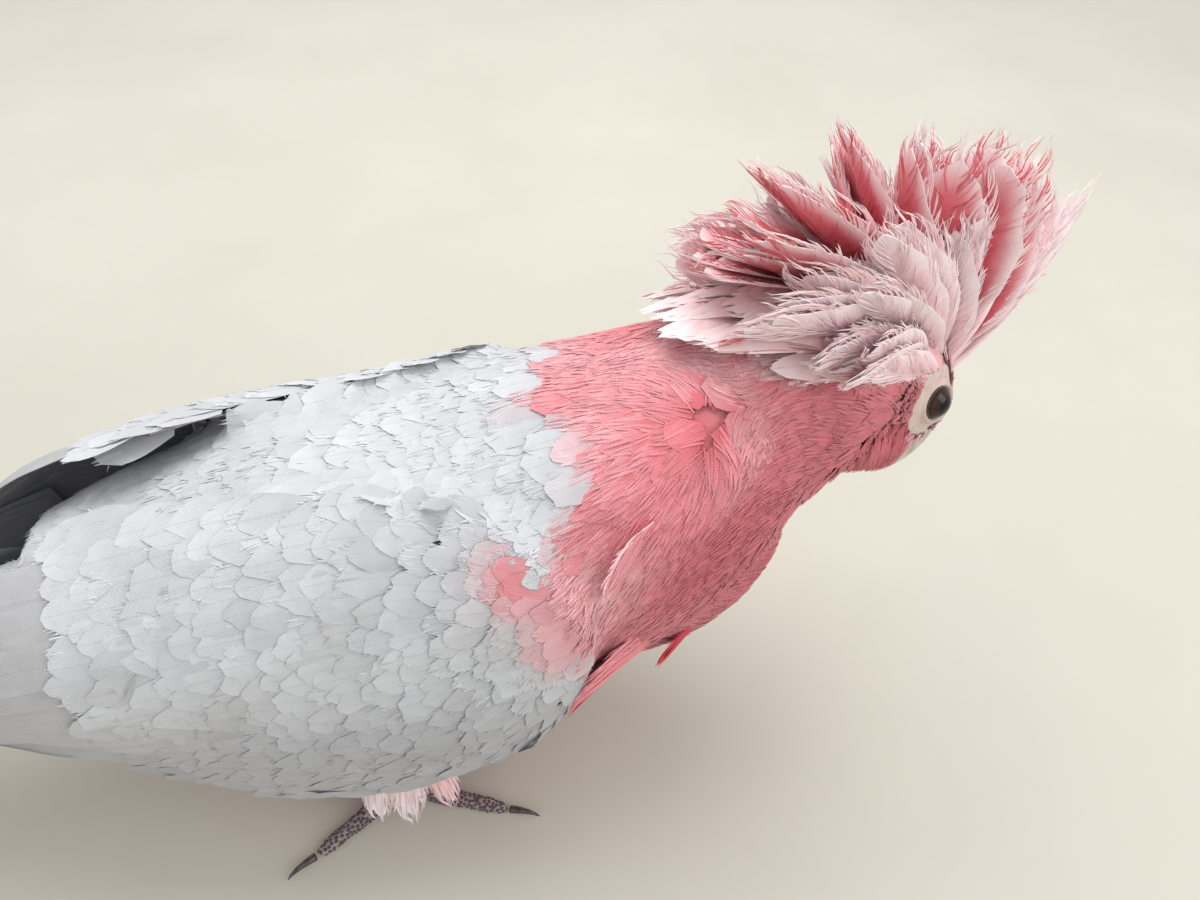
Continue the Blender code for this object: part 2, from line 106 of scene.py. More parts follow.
def head_axes():
    pitch, yaw, roll = (math.radians(angle) for angle in HEAD_TURN)
    ahead = np.array((math.cos(pitch) * math.cos(yaw), math.cos(pitch) * math.sin(yaw), math.sin(pitch)))
    level = np.array((-math.sin(yaw), math.cos(yaw), 0.0))
    left = level * math.cos(roll) + np.cross(ahead, level) * math.sin(roll)
    return np.stack((ahead, left, np.cross(ahead, left)))


HEAD_AXES = head_axes()


def on_head(points):
    """Places in millimetres as ahead, left and up of the brow's centre."""
    return (points - HEAD_CENTRE) @ HEAD_AXES.T


def off_head(places):
    return np.asarray(places, float) @ HEAD_AXES + HEAD_CENTRE


def drift(points, size, seed):
    """A soft random value of -1 to 1 at each place, from a few crossing waves of that size."""
    rng = np.random.default_rng(seed)
    total = np.zeros(points.shape[:-1])
    for _ in range(5):
        way = unit(rng.normal(size=3)) * rng.uniform(0.7, 1.4) * 2 * math.pi / size
        total += np.sin(points @ way + rng.uniform(0, 2 * math.pi))
    return total / 3.2


def plumage(points):
    """The coat's root and tip colours at places in millimetres, also worn by the skin."""
    x, y, z = points[..., 0], points[..., 1], points[..., 2]
    place = on_head(points)
    ahead, up = place[..., 0], place[..., 2]
    cloud = drift(points, 26, 3)
    fleck = drift(points, 9, 5)

    # Rose over the breast, neck and belly, duskier on the cheek, coral about the whorl on the neck.
    tip = mixed(paint(ROSE_LIGHT), paint(ROSE), rise(cloud, -0.7, 0.9))
    root = np.broadcast_to(paint(ROSE_DEEP), tip.shape)
    high = rise(z, 108, 126) * rise(-ahead, 28, 45)
    tip = mixed(tip, paint(ROSE_LIGHT), high * 0.55)
    cheek = rise(ahead, -42, -24) * rise(-up, -8, 4)
    tip = mixed(tip, paint(CHEEK), cheek * 0.75)
    whorl = np.exp(-((x - WHORL[0]) ** 2 + (np.abs(y) - WHORL[1]) ** 2 + (z - WHORL[2]) ** 2) / 130)
    tip = mixed(tip, paint(CORAL), whorl * 0.7)
    root = mixed(root, paint(CORAL), whorl * 0.6)
    patch = np.exp(-(((x - 106) / 9) ** 2 + ((np.abs(y) - 12) / 6) ** 2 + ((z - 129) / 8) ** 2))
    tip = mixed(tip, paint(BLUSH), np.clip(patch * (1.1 + 0.5 * fleck), 0, 1) * 0.8)

    # Chalky pink crown and face.
    edge = -1.5 + 0.5 * (ahead + 13)
    crown = rise(up + 1.2 * fleck, edge, edge + 3.0) * rise(ahead, -44, -36)
    face = np.maximum(crown, rise(ahead, 1.0, 6.0) * rise(up, -9, -4))
    tip = mixed(tip, mixed(paint(CHALK), paint(BLUSH), rise(cloud, -0.5, 0.8)), face)
    root = mixed(root, paint(ROSE_LIGHT), face * 0.8)

    # Pearl grey mantle, back and rump behind a wavy edge, and rose belly under them.
    around = np.arctan2(z - 84, np.abs(y))
    border = 76 + 4.5 * np.sin(around * 6.5 + 0.6) + 2.5 * fleck - 16 * rise(108 - z, 0, 12)
    belly = rise(-(z - 66), 0, 8) * rise(x, -44, -26)
    grey = rise(border - x, -1.5, 2.5) * (1 - belly)
    tip = mixed(tip, mixed(paint(PEARL), paint(DOVE), rise(cloud, 0.1, 1.0) * 0.5), grey)
    root = mixed(root, paint(PEARL_SHADE), grey)
    return root, tip


def placed(name, data):
    """A new object in the scene."""
    piece = bpy.data.objects.new(name, data)
    bpy.context.scene.collection.objects.link(piece)
    return piece


def settled(holder):
    """The mesh that an object's modifiers make, and the object gone."""
    mesh = bpy.data.meshes.new_from_object(holder.evaluated_get(bpy.context.evaluated_depsgraph_get()))
    bpy.data.objects.remove(holder)
    return mesh


def rounded(mesh):
    mesh.polygons.foreach_set("use_smooth", [True] * len(mesh.polygons))
    return mesh


def corners(mesh):
    values = np.empty(len(mesh.vertices) * 3)
    mesh.vertices.foreach_get("co", values)
    return values.reshape(-1, 3)


def outward(mesh):
    values = np.empty(len(mesh.vertices) * 3)
    mesh.vertex_normals.foreach_get("vector", values)
    return values.reshape(-1, 3)


def pushed(shape, depth):
    """Moves every corner out along its normal."""
    shape.normal_update()
    for corner, out in [(vert, vert.normal.copy()) for vert in shape.verts]:
        corner.co += out * depth


def relaxed(mesh, rounds, sink=0.0):
    """The mesh with its bumps smoothed that many times, and then sunk by a depth."""
    shape = bmesh.new()
    shape.from_mesh(mesh)
    for _ in range(rounds):
        bmesh.ops.smooth_vert(
            shape, verts=shape.verts, factor=0.5, use_axis_x=True, use_axis_y=True, use_axis_z=True
        )
    if sink:
        pushed(shape, -sink)
    shape.to_mesh(mesh)
    shape.free()
    return mesh


def merged(names, grow=0.0):
    """A copy of the solids' meshes in one, with their doubles merged, and the solid that owns each face."""
    whole, owners = bmesh.new(), []
    for name in names:
        part = bmesh.new()
        part.from_mesh(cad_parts[name].data)
        bmesh.ops.remove_doubles(part, verts=part.verts, dist=1e-6)
        pushed(part, grow)
        mesh = bpy.data.meshes.new(name)
        part.to_mesh(mesh)
        whole.from_mesh(mesh)
        owners += [name] * len(part.faces)
        part.free()
        bpy.data.meshes.remove(mesh)
    return whole, owners


def grown_together(names, grow, voxel, rounds, sink=0.0):
    """The solids as one smooth skin, remeshed from a volume, and then sunk by a depth."""
    whole, _ = merged(names, grow)
    mesh = bpy.data.meshes.new("grown")
    whole.to_mesh(mesh)
    whole.free()
    holder = placed("grown", mesh)
    remesh = holder.modifiers.new("Remesh", "REMESH")
    remesh.mode = "VOXEL"
    remesh.voxel_size = voxel
    return rounded(relaxed(settled(holder), rounds, sink))


def levelled(mesh, values, rounds):
    """Each vertex's value, averaged with its neighbours' that many times."""
    edges = np.empty(len(mesh.edges) * 2, int)
    mesh.edges.foreach_get("vertices", edges)
    first, second = edges.reshape(-1, 2).T
    count = np.bincount(edges, minlength=len(values))
    for _ in range(rounds):
        total = np.bincount(first, values[second], len(values)) + np.bincount(second, values[first], len(values))
        values = 0.5 * values + 0.5 * total / np.maximum(count, 1)
    return values


class Surface:
    """A skin to lay feathers on: it finds the nearest place, its smooth normal and its face."""

    def __init__(self, mesh, facing=None):
        self.points = corners(mesh) / MM
        faces = mesh.polygons
        if facing:
            faces = [face for face in faces if face.normal.dot(Vector(facing)) > 0.1]
        self.faces = [tuple(face.vertices) for face in faces]
        self.tree = BVHTree.FromPolygons(self.points.tolist(), self.faces)
        normals = outward(mesh)
        self.normals = unit(np.array([normals[list(face)].mean(axis=0) for face in self.faces]))

    def nearest(self, points):
        found = [self.tree.find_nearest(point) for point in points.reshape(-1, 3).tolist()]
        spots = np.array([tuple(spot) for spot, _, _, _ in found]).reshape(points.shape)
        faces = np.array([face for _, _, face, _ in found])
        return spots, self.normals[faces].reshape(points.shape), faces


def owners_of(points, names):
    """The solid that is nearest to each place in millimetres."""
    whole, owners = merged(names)
    tree = BVHTree.FromBMesh(whole)
    found = [owners[tree.find_nearest(Vector(point) * MM)[2]] for point in points.tolist()]
    whole.free()
    return found


def colour_vertices(mesh, colours):
    layer = mesh.color_attributes.new("Tint", "FLOAT_COLOR", "POINT")
    full = np.ones((len(mesh.vertices), 4))
    full[:, :3] = colours
    layer.data.foreach_set("color", full.ravel())


def show(mesh, material, nodes=()):
    """Adds a finished mesh to the scene as a piece of the bird, under the mesh's name."""
    mesh.materials.clear()
    mesh.materials.append(material)
    piece = placed(mesh.name, mesh)
    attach(piece, "root")
    if nodes:
        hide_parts(*nodes)
    return piece


def fed(tree, node, links):
    """Sets a node's inputs, each to a value or to the output that feeds it."""
    for socket, source in dict(links).items():
        if isinstance(source, (int, float, str, tuple)):
            node.inputs[socket].default_value = source
        else:
            tree.links.new(source, node.inputs[socket])
    return node


def add_node(tree, kind, links=(), **settings):
    node = tree.nodes.new(kind)
    for name, value in settings.items():
        setattr(node, name, value)
    return fed(tree, node, links)


def maths(tree, operation, *values):
    return add_node(tree, "ShaderNodeMath", dict(enumerate(values)), operation=operation).outputs[0]


class Finish:
    """A material with one shader, and the nodes that colour and shape it."""

    def __init__(self, name, roughness, sheen=0.0, coat=0.0, specular=0.5, subsurface=0.0):
        self.material = bpy.data.materials.new(name)
        self.material.use_nodes = True
        self.tree = self.material.node_tree
        self.shader = self.tree.nodes["Principled BSDF"]
        self.feed("Roughness", roughness)
        self.feed("Specular IOR Level", specular)
        self.feed("Sheen Weight", sheen)
        self.feed("Coat Weight", coat)
        self.feed("Coat Roughness", 0.06)
        if subsurface:
            self.feed("Subsurface Weight", subsurface)
            self.feed("Subsurface Scale", 0.002)
            self.feed("Subsurface Radius", (1.0, 0.35, 0.25))
        self.place = self.add("ShaderNodeTexCoord").outputs["Object"]

    def feed(self, socket, source):
        fed(self.tree, self.shader, {socket: source})

    def add(self, kind, links=(), **settings):
        return add_node(self.tree, kind, links, **settings)

    def maths(self, operation, *values):
        return maths(self.tree, operation, *values)

    def noise(self, scale, detail=6.0):
        return self.add("ShaderNodeTexNoise", {"Vector": self.place, "Scale": scale, "Detail": detail}).outputs["Fac"]

    def cells(self, scale):
        return self.add("ShaderNodeTexVoronoi", {"Vector": self.place, "Scale": scale}).outputs["Distance"]

    def mix(self, share, first, second, mode="MIX"):
        links = {0: share, 6: first, 7: second}
        return self.add("ShaderNodeMix", links, data_type="RGBA", blend_type=mode).outputs[2]

    def shaded(self, colour, shade):
        """A colour made darker or lighter by a value."""
        grey = self.add("ShaderNodeCombineColor", {0: shade, 1: shade, 2: shade})
        return self.mix(1.0, colour, grey.outputs["Color"], "MULTIPLY")

    def bump(self, height, strength, distance):
        links = {"Height": height, "Strength": strength, "Distance": distance}
        self.feed("Normal", self.add("ShaderNodeBump", links).outputs["Normal"])


def skin_finish():
    finish = Finish("Skin under the feathers", 0.62, subsurface=0.15, specular=0.35)
    tint = finish.add("ShaderNodeAttribute", attribute_name="Tint").outputs["Color"]
    mottle = finish.mix(finish.noise(160.0), (0.62, 0.55, 0.55, 1), (1.0, 0.95, 0.95, 1))
    finish.feed("Base Color", finish.mix(1.0, tint, mottle, "MULTIPLY"))
    finish.bump(finish.cells(900.0), 0.5, 0.0003)
    return finish.material


def make_skin():
    mesh = grown_together(FLESH, SKIN_BRIDGE, SKIN_VOXEL, 5)
    mesh.name = "skin"
    points, normals = corners(mesh), outward(mesh)
    depth = np.array([FLESH[name] for name in owners_of(points / MM, FLESH)]) * MM
    place = on_head(points / MM)
    depth = np.where((place[:, 0] > -2) & (place[:, 2] < 14), FACE_COAT * MM, depth)
    depth = levelled(mesh, depth, 10)
    points = points - normals * (depth + SKIN_BRIDGE)[:, None]
    mesh.vertices.foreach_set("co", points.ravel())
    rounded(relaxed(mesh, 1))
    root, tip = plumage(corners(mesh) / MM)
    colour_vertices(mesh, mixed(root, tip, 0.35))
    return mesh


def unwrap(piece):
    """Lays the piece's own surface out flat as the map OFBake, and gives the middle of each face on it."""
    mesh = piece.data
    mesh.uv_layers.new(name="OFBake")
    bpy.context.view_layer.objects.active = piece
    piece.select_set(True)
    bpy.ops.object.mode_set(mode="EDIT")
    bpy.ops.mesh.select_all(action="SELECT")
    bpy.ops.uv.smart_project(angle_limit=math.radians(66), island_margin=0.003)
    bpy.ops.object.mode_set(mode="OBJECT")
    piece.select_set(False)
    flat = np.empty(len(mesh.loops) * 2)
    mesh.uv_layers["OFBake"].data.foreach_get("uv", flat)
    flat = flat.reshape(-1, 2)
    return np.array([flat[list(face.loop_indices)].mean(axis=0) for face in mesh.polygons])


skin = show(make_skin(), skin_finish(), FLESH)
hide_map = unwrap(skin)
hide = Surface(skin.data)


# ---- Eyes ----
# Dark brown eyes with a black pupil under a clear cornea, set deep in the head, and the bare chalky skin
# about each: a rolled lid at the opening, and fine creases that run round it.

EYE_PLACE = np.array((4.6, 12.6, 3.2))  # on the head, mirrored for the right
EYE_RADIUS = 5.0
EYE_AXIS = np.array((0.15, 0.97, 0.18))  # on the head, mirrored for the right
EYE_OPENING = 3.85
EYE_RING = 8.7
SKIN_REACHES = (5.2, 6.4, 7.6, EYE_RING)  # where the bare ring takes its height from the skin
IRIS_COLOURS = (
    (0.0, (4, 4, 5)), (0.36, (5, 4, 5)), (0.42, (46, 26, 20)),
    (0.74, (66, 38, 28)), (0.82, (20, 12, 12)), (0.95, (92, 74, 72)),
)  # fmt: skip


def tube_faces(rings, sides, closed=False):
    """Quads between rings of points, and from the last ring to the first where the tube is closed."""
    faces = []
    for i in range(rings if closed else rings - 1):
        for j in range(sides):
            k, m = (i + 1) % rings, (j + 1) % sides
            faces.append((i * sides + j, i * sides + m, k * sides + m, k * sides + j))
    return faces


def closed_mesh(name, points, faces):
    """A smooth mesh in metres from places in millimetres, its faces turned outwards."""
    mesh = bpy.data.meshes.new(name)
    mesh.from_pydata((np.asarray(points).reshape(-1, 3) * MM).tolist(), [], faces)
    shape = bmesh.new()
    shape.from_mesh(mesh)
    bmesh.ops.remove_doubles(shape, verts=shape.verts, dist=1e-7)
    bmesh.ops.recalc_face_normals(shape, faces=shape.faces)
    shape.to_mesh(mesh)
    shape.free()
    return rounded(mesh)


def turns(count):
    return [2 * math.pi * j / count for j in range(count)]


def eye_frame(mirror):
    axis = unit(EYE_AXIS * (1, mirror, 1)) @ HEAD_AXES
    first = unit(np.cross(axis, HEAD_AXES[2]))
    return off_head(EYE_PLACE * (1, mirror, 1)), axis, first, np.cross(axis, first)


def eyeball(name, mirror, rings=31, sides=40):
    centre, axis, first, second = eye_frame(mirror)
    points = []
    for angle in np.linspace(0, math.pi, rings):
        radius = EYE_RADIUS + 0.45 * math.exp(-((angle / 0.6) ** 2))
        for way in turns(sides):
            around = first * math.cos(way) + second * math.sin(way)
            points.append(centre + (axis * math.cos(angle) + around * math.sin(angle)) * radius)
    mesh = closed_mesh(name, points, tube_faces(rings, sides))
    offsets = corners(mesh) / MM - centre
    polar = np.arccos(np.clip(unit(offsets) @ axis, -1, 1))
    turn = np.arctan2(offsets @ second, offsets @ first)
    loops = np.empty(len(mesh.loops), int)
    mesh.loops.foreach_get("vertex_index", loops)
    flat = np.stack((polar * np.cos(turn), polar * np.sin(turn)), axis=1)[loops]
    mesh.uv_layers.new(name="Iris").data.foreach_set("uv", flat.ravel())
    return mesh


def eye_finish():
    finish = Finish("Eye", 0.1, coat=0.25, specular=0.2)
    spot = finish.add("ShaderNodeUVMap", uv_map="Iris").outputs["UV"]
    reach = finish.add("ShaderNodeVectorMath", {0: spot}, operation="LENGTH").outputs["Value"]
    bands = finish.add("ShaderNodeValToRGB", {"Fac": reach})
    ramp = bands.color_ramp.elements
    for stop, (position, colour) in zip(ramp, (IRIS_COLOURS[0], IRIS_COLOURS[-1])):
        stop.position, stop.color = position, ink(colour)
    for position, colour in IRIS_COLOURS[1:-1]:
        ramp.new(position).color = ink(colour)
    angle = finish.add("ShaderNodeTexGradient", {"Vector": spot}, gradient_type="RADIAL").outputs["Fac"]
    streaks = finish.add("ShaderNodeTexNoise", {"Vector": spot, "Scale": 30.0, "Detail": 6.0}).outputs["Fac"]
    fibre = finish.maths("SINE", finish.maths("MULTIPLY", angle, 380.0))
    shade = finish.maths("MULTIPLY_ADD", fibre, 0.12, finish.maths("ADD", streaks, 0.5))
    finish.feed("Base Color", finish.shaded(bands.outputs["Color"], shade))
    return finish.material


def bare_height(reach, way, skin_at):
    """How far out the bare skin lies at a reach from the eye's middle: lid, creases, and then the face."""
    level = np.interp(reach, SKIN_REACHES, skin_at) + 0.55
    lid = 2.7 + 0.5 * math.exp(-(((reach - 4.6) / 0.4) ** 2)) - 0.3 * max(reach - 4.9, 0)
    share = float(rise(reach, 4.9, 7.2))
    crease = math.sin(2 * math.pi * reach / 0.62 + 0.5 * math.sin(3 * way)) * 0.09
    crease *= float(rise(reach, 4.7, 5.4) * rise(-reach, -8.6, -7.6))
    height = lid * (1 - share) + level * share + crease * (0.7 + 0.3 * math.sin(9 * way + reach))
    return height + (0.06 * math.cos(way * 30) if reach < 4.9 else 0)


def bare_ring(name, mirror, sides=96):
    """The bare skin about an eye, from inside the lid's edge out to the feathers, and back under itself."""
    centre, axis, first, second = eye_frame(mirror)
    reaches = np.linspace(EYE_OPENING, EYE_RING, 40)
    columns = []
    for way in turns(sides):
        around = (first * math.cos(way) + second * math.sin(way)) * (1 + 0.10 * math.cos(way) ** 2)
        skin_at = []
        for reach in SKIN_REACHES:
            hit = hide.tree.ray_cast(Vector(centre + axis * 11 + around * reach), Vector(-axis), 16.0)[0]
            skin_at.append(min((np.array(hit) - centre) @ axis if hit else 1.0, 2.8))
        profile = [(reach, bare_height(reach, way, skin_at)) for reach in reaches]
        level = skin_at[-1] + 0.55
        under = np.interp(6.0, SKIN_REACHES, skin_at) + 0.55
        profile += [(EYE_RING + 0.3, level - 1.0), (6.0, min(1.6, under - 1.4)), (EYE_OPENING - 0.3, 1.9)]
        columns.append([centre + axis * height + around * reach for reach, height in profile])
    rows = np.array(columns).swapaxes(0, 1)
    return closed_mesh(name, rows, tube_faces(len(rows), sides, closed=True))


def bare_finish():
    finish = Finish("Bare eye skin", 0.6, specular=0.3, subsurface=0.2)
    finish.feed("Base Color", finish.mix(finish.noise(420.0), ink((186, 160, 152)), ink((226, 210, 202))))
    finish.bump(finish.cells(1700.0), 0.5, 0.00015)
    return finish.material


iris, bare = eye_finish(), bare_finish()
for side, mirror in (("left", 1), ("right", -1)):
    show(eyeball(f"eyeball_{side}", mirror), iris, [f"eye_{side}"])
    show(bare_ring(f"eye_ring_{side}", mirror), bare)


# ---- Bill ----
# A short deep bill of pale grey horn, its hooked upper half over a scooped lower half, with growth lines
# round it, and a low fleshy cere with the two nostrils across its root.

BILL_ROOT = 12.0  # ahead on the head
CERE_REACH = (7.2, 8.3)  # out and up from its middle
CERE_HEIGHT = 3.0
UPPER_BILL = [
    (-2.0, 3.4, -4, 7.3, 8.3),
    (0.0, 3.2, -10, 7.5, 8.2),
    (5.0, 1.0, -28, 7.0, 7.6),
    (8.9, -4.0, -55, 5.3, 5.9),
    (10.2, -10.0, -82, 3.4, 4.0),
    (9.2, -15.4, -105, 1.8, 2.1),
    (7.8, -18.6, -115, 0.6, 0.7),
]  # ahead of the face and up, turn in degrees, half width and half depth
LOWER_BILL = [
    (-2.0, -8.0, -30, 6.0, 3.8),
    (0.0, -9.3, -35, 6.0, 3.7),
    (2.6, -11.6, -40, 5.4, 3.4),
    (5.0, -13.6, -40, 3.75, 2.4),
    (6.4, -14.9, -40, 1.65, 1.0),
]
NOSTRIL = ((0.02, -0.9), (0.55, -0.7), (0.7, 0.25), (0.95, 0.42), (1.25, 0.2), (1.35, -0.5), (0.02, -1.1))


def eased(rows, at):
    """Rows of values at fractional places, on a smooth curve through them."""
    rows = np.asarray(rows, float)
    at = np.clip(np.atleast_1d(at), 0, len(rows) - 1 - 1e-9)
    i = at.astype(int)
    t = (at - i)[:, None]
    before, first, second, after = (rows[np.clip(i + k, 0, len(rows) - 1)] for k in (-1, 0, 1, 2))
    bend = 2 * before - 5 * first + 4 * second - after + t * (3 * (first - second) + after - before)
    return first + 0.5 * t * (second - before + t * bend)


def bill_half(name, path, steps, pinch, hollow, sides=32):
    """Rings along a bent horn, narrower at the ridge by `pinch` and scooped below by `hollow`."""
    points = []
    for row, (ahead, up, turn, half, deep) in enumerate(eased(path, np.linspace(0, len(path) - 1, steps))):
        tilt = math.radians(turn)
        for a in turns(sides):
            ripple = 1 + 0.008 * math.sin(row * 2.1 + 2 * math.sin(a))
            wide = math.copysign(abs(math.cos(a)) ** 0.85, math.cos(a)) * (1 - pinch * max(math.sin(a), 0) ** 2)
            tall = math.sin(a) * (1 - hollow * (math.sin(a) < 0) * abs(math.sin(a)) * 0.5) * deep * ripple
            place = (-math.sin(tilt) * tall, wide * half * ripple, math.cos(tilt) * tall)
            points.append(off_head(np.array((BILL_ROOT + ahead, 0.0, up)) + place))
    ends = [tuple(range(sides))[::-1], tuple((steps - 1) * sides + j for j in range(sides))]
    return closed_mesh(name, points, tube_faces(steps, sides) + ends)


def horn_finish(name, light, dark, scale):
    finish = Finish(name, 0.38, coat=0.15, specular=0.45, subsurface=0.1)
    waves = {"Vector": finish.place, "Scale": scale, "Distortion": 5.0, "Detail": 4.0, "Detail Scale": 2.0}
    lines = finish.add("ShaderNodeTexWave", waves).outputs["Fac"]
    flakes = finish.noise(260.0, 8.0)
    share = finish.maths("MULTIPLY_ADD", lines, 0.35, finish.maths("MULTIPLY", flakes, 0.75))
    finish.feed("Base Color", finish.mix(share, ink(dark), ink(light)))
    finish.feed("Roughness", finish.maths("MULTIPLY_ADD", flakes, 0.35, 0.22))
    finish.bump(share, 0.35, 0.0002)
    return finish.material


def cere(name, rings=49, sides=14):
    """A soft tube over the root of the bill, from one side to the other, thicker at the two nostrils."""
    points = []
    for share in np.linspace(0, 1, rings):
        a = math.radians(-5 + 190 * share)
        size = 1.15 * (0.25 + 0.75 * math.sin(math.pi * share) ** 0.4)
        size += sum(0.45 * math.exp(-(((math.degrees(a) - at) / 13) ** 2)) for at in (62, 118))
        out, up = math.cos(a) * CERE_REACH[0], math.sin(a) * CERE_REACH[1]
        middle = np.array((BILL_ROOT + 0.6, out, CERE_HEIGHT + up))
        away = unit(np.array((0.35, math.cos(a), math.sin(a)))) * size * 0.8
        for b in turns(sides):
            points.append(off_head(middle + away * math.cos(b) + np.array((math.sin(b) * size * 1.5, 0, 0))))
    ends = [tuple(range(sides)), tuple((rings - 1) * sides + j for j in range(sides))]
    return closed_mesh(name, points, tube_faces(rings, sides) + ends)


def nostrils(name, sides=16):
    """A raised rim and a dark dimple on each side of the ridge."""
    points, faces = [], []
    for mirror in (1, -1):
        a = math.radians(62)
        middle = np.array((13.9, mirror * math.cos(a) * 7.4, CERE_HEIGHT + math.sin(a) * 8.2))
        away = unit(np.array((0.75, mirror * math.cos(a), math.sin(a))))
        side = unit(np.cross(away, (0.2, 0.0, 1.0)))
        upward = np.cross(side, away)
        start = len(points)
        for reach, height in NOSTRIL:
            for way in turns(sides):
                around = side * math.cos(way) + upward * math.sin(way)
                points.append(off_head(middle + away * height + around * reach))
        faces += [tuple(start + corner for corner in face) for face in tube_faces(len(NOSTRIL), sides)]
    return closed_mesh(name, points, faces)


horn = horn_finish("Bill horn", (214, 208, 196), (150, 146, 138), 90.0)
show(bill_half("bill_upper_half", UPPER_BILL, 44, 0.22, 0.5), horn, ["bill_upper"])
show(bill_half("bill_lower_half", LOWER_BILL, 26, -0.1, 0.0), horn, ["bill_lower"])
show(cere("cere"), bare)
show(nostrils("nostrils"), bare)


# ---- Feet and claws ----
# Bare grey-mauve feet with two toes ahead and two behind, covered in small domed scales with paler skin
# between, and dark hooked claws.

FOOT_VOXEL = 0.6 * MM
CLAW_VOXEL = 0.3 * MM
SCALE_SPACING = 0.95 * MM
SOLE = 1.1 * MM  # no scales grow below this height


def new_group(name, inputs):
    """A Geometry Nodes tree with its named inputs, and its first and last nodes."""
    tree = bpy.data.node_groups.new(name, "GeometryNodeTree")
    for label, kind in (("Geometry", "Geometry"), *inputs):
        tree.interface.new_socket(label, in_out="INPUT", socket_type=f"NodeSocket{kind}")
    tree.interface.new_socket("Geometry", in_out="OUTPUT", socket_type="NodeSocketGeometry")
    return tree, tree.nodes.new("NodeGroupInput").outputs, tree.nodes.new("NodeGroupOutput")


def sowing(tree, start, selection, density):
    """Nodes that sow points on the chosen faces, no nearer to one another than the group's Spacing."""
    square = maths(tree, "MULTIPLY", start["Spacing"], start["Spacing"])
    links = {
        "Mesh": start["Geometry"], "Selection": selection, "Distance Min": start["Spacing"],
        "Density Max": maths(tree, "DIVIDE", density, square), "Seed": start["Seed"],
    }  # fmt: skip
    return add_node(tree, "GeometryNodeDistributePointsOnFaces", links, distribute_method="POISSON").outputs


def put_through(group, mesh, **values):
    """What a Geometry Nodes tree makes of a copy of a mesh, with its inputs set by name."""
    holder = placed("sowing", mesh.copy())
    modifier = holder.modifiers.new("Sowing", "NODES")
    modifier.node_group = group
    for item in group.interface.items_tree:
        if item.in_out == "INPUT" and item.name in values:
            modifier[item.identifier] = values[item.name]
    return settled(holder)


def scale_tree():
    """Geometry Nodes that set a low dome on each sown place of the foot, flat on its skin."""
    inputs = (("Spacing", "Float"), ("Finish", "Material"), ("Seed", "Int"))
    tree, start, end = new_group("Foot scales", inputs)
    place = add_node(tree, "GeometryNodeInputPosition").outputs["Position"]
    height = add_node(tree, "ShaderNodeSeparateXYZ", {0: place}).outputs["Z"]
    sown_at = sowing(tree, start, maths(tree, "GREATER_THAN", height, SOLE), 4.0)
    dome = add_node(tree, "GeometryNodeMeshUVSphere", {"Segments": 7, "Rings": 4, "Radius": 1.0})
    sizes = {"Min": (0.82, 0.7, 0.42), "Max": (1.05, 0.95, 0.6), "Seed": start["Seed"]}
    flat = add_node(tree, "FunctionNodeRandomValue", sizes, data_type="FLOAT_VECTOR").outputs["Value"]
    radius = maths(tree, "MULTIPLY", start["Spacing"], 0.62)
    size = add_node(tree, "ShaderNodeVectorMath", {0: flat, "Scale": radius}, operation="SCALE").outputs["Vector"]
    links = {
        "Points": sown_at["Points"], "Instance": dome.outputs["Mesh"],
        "Rotation": sown_at["Rotation"], "Scale": size,
    }  # fmt: skip
    domes = add_node(tree, "GeometryNodeInstanceOnPoints", links).outputs["Instances"]
    real = add_node(tree, "GeometryNodeRealizeInstances", {"Geometry": domes}).outputs["Geometry"]
    links = {"Geometry": real, "Material": start["Finish"]}
    fed(tree, end, {"Geometry": add_node(tree, "GeometryNodeSetMaterial", links).outputs["Geometry"]})
    return tree


def foot_finish(name, light, dark, scale):
    finish = Finish(name, 0.55, specular=0.4)
    finish.feed("Base Color", finish.mix(finish.noise(scale), ink(dark), ink(light)))
    finish.bump(finish.cells(1400.0), 0.5, 0.0002)
    return finish.material


web = foot_finish("Skin between scales", (176, 160, 160), (118, 100, 104), 300.0)
plate = foot_finish("Foot scale", (104, 92, 98), (58, 50, 56), 500.0)
claw_horn = horn_finish("Claw horn", (96, 88, 88), (34, 30, 32), 120.0)
foot_scales = scale_tree()
for side, seed in (("left", 21), ("right", 22)):
    mesh = grown_together([f"foot_{side}"], 0.0, FOOT_VOXEL, 3)
    level = corners(mesh)
    level[:, 2] = np.maximum(level[:, 2], 0.0)
    mesh.vertices.foreach_set("co", level.ravel())
    scales = rounded(put_through(foot_scales, mesh, Spacing=SCALE_SPACING, Finish=plate, Seed=seed))
    toes = [f"claw_{side}_{toe}" for toe in ("inner", "middle", "outer", "hind")]
    claws = grown_together(toes, 0.0, CLAW_VOXEL, 4)
    mesh.name, scales.name, claws.name = f"foot_skin_{side}", f"foot_scales_{side}", f"claws_{side}"
    show(mesh, web, [f"foot_{side}"])
    show(scales, plate)
    show(claws, claw_horn, toes)


# ---- Feathers of the back ----
# Broad soft vanes of pearl grey that lie along the mantle, back and rump like shingles. Each is a closed
# cambered blade with a ragged end, laid on the skin from its root, and loose barbs fringe its end.

FEATHER_SEED = 11
BED_STEPS = 6
BEDS = {"bare": 0, "face": 1, "crown": 2, "rose": 3, "back": 4, "thigh": 5, "over tail": 6, "under tail": 7, "wing": 8}
BILL_PLACE = np.array((13.0, 0.0, -3.0))  # on the head
BARE_EYE = 8.6  # no feathers within this reach of an eye
BARE_BILL = 7.0
SPINE_X = np.array((-57, -35, 1, 41, 69, 93, 113, 127, 138, 148, 160))
SPINE_Z = np.array((75, 74, 74, 77, 84, 94, 104, 112, 114, 111, 101))
CHIN = (15.0, 0.0, -26.0)  # the lower cheek's feathers point at it, on the head
PATCH = 0.003  # a feather's patch of the map OFBake
RAISED = (0, 1, 0)  # a strand's three corners across: its sides and its ridge


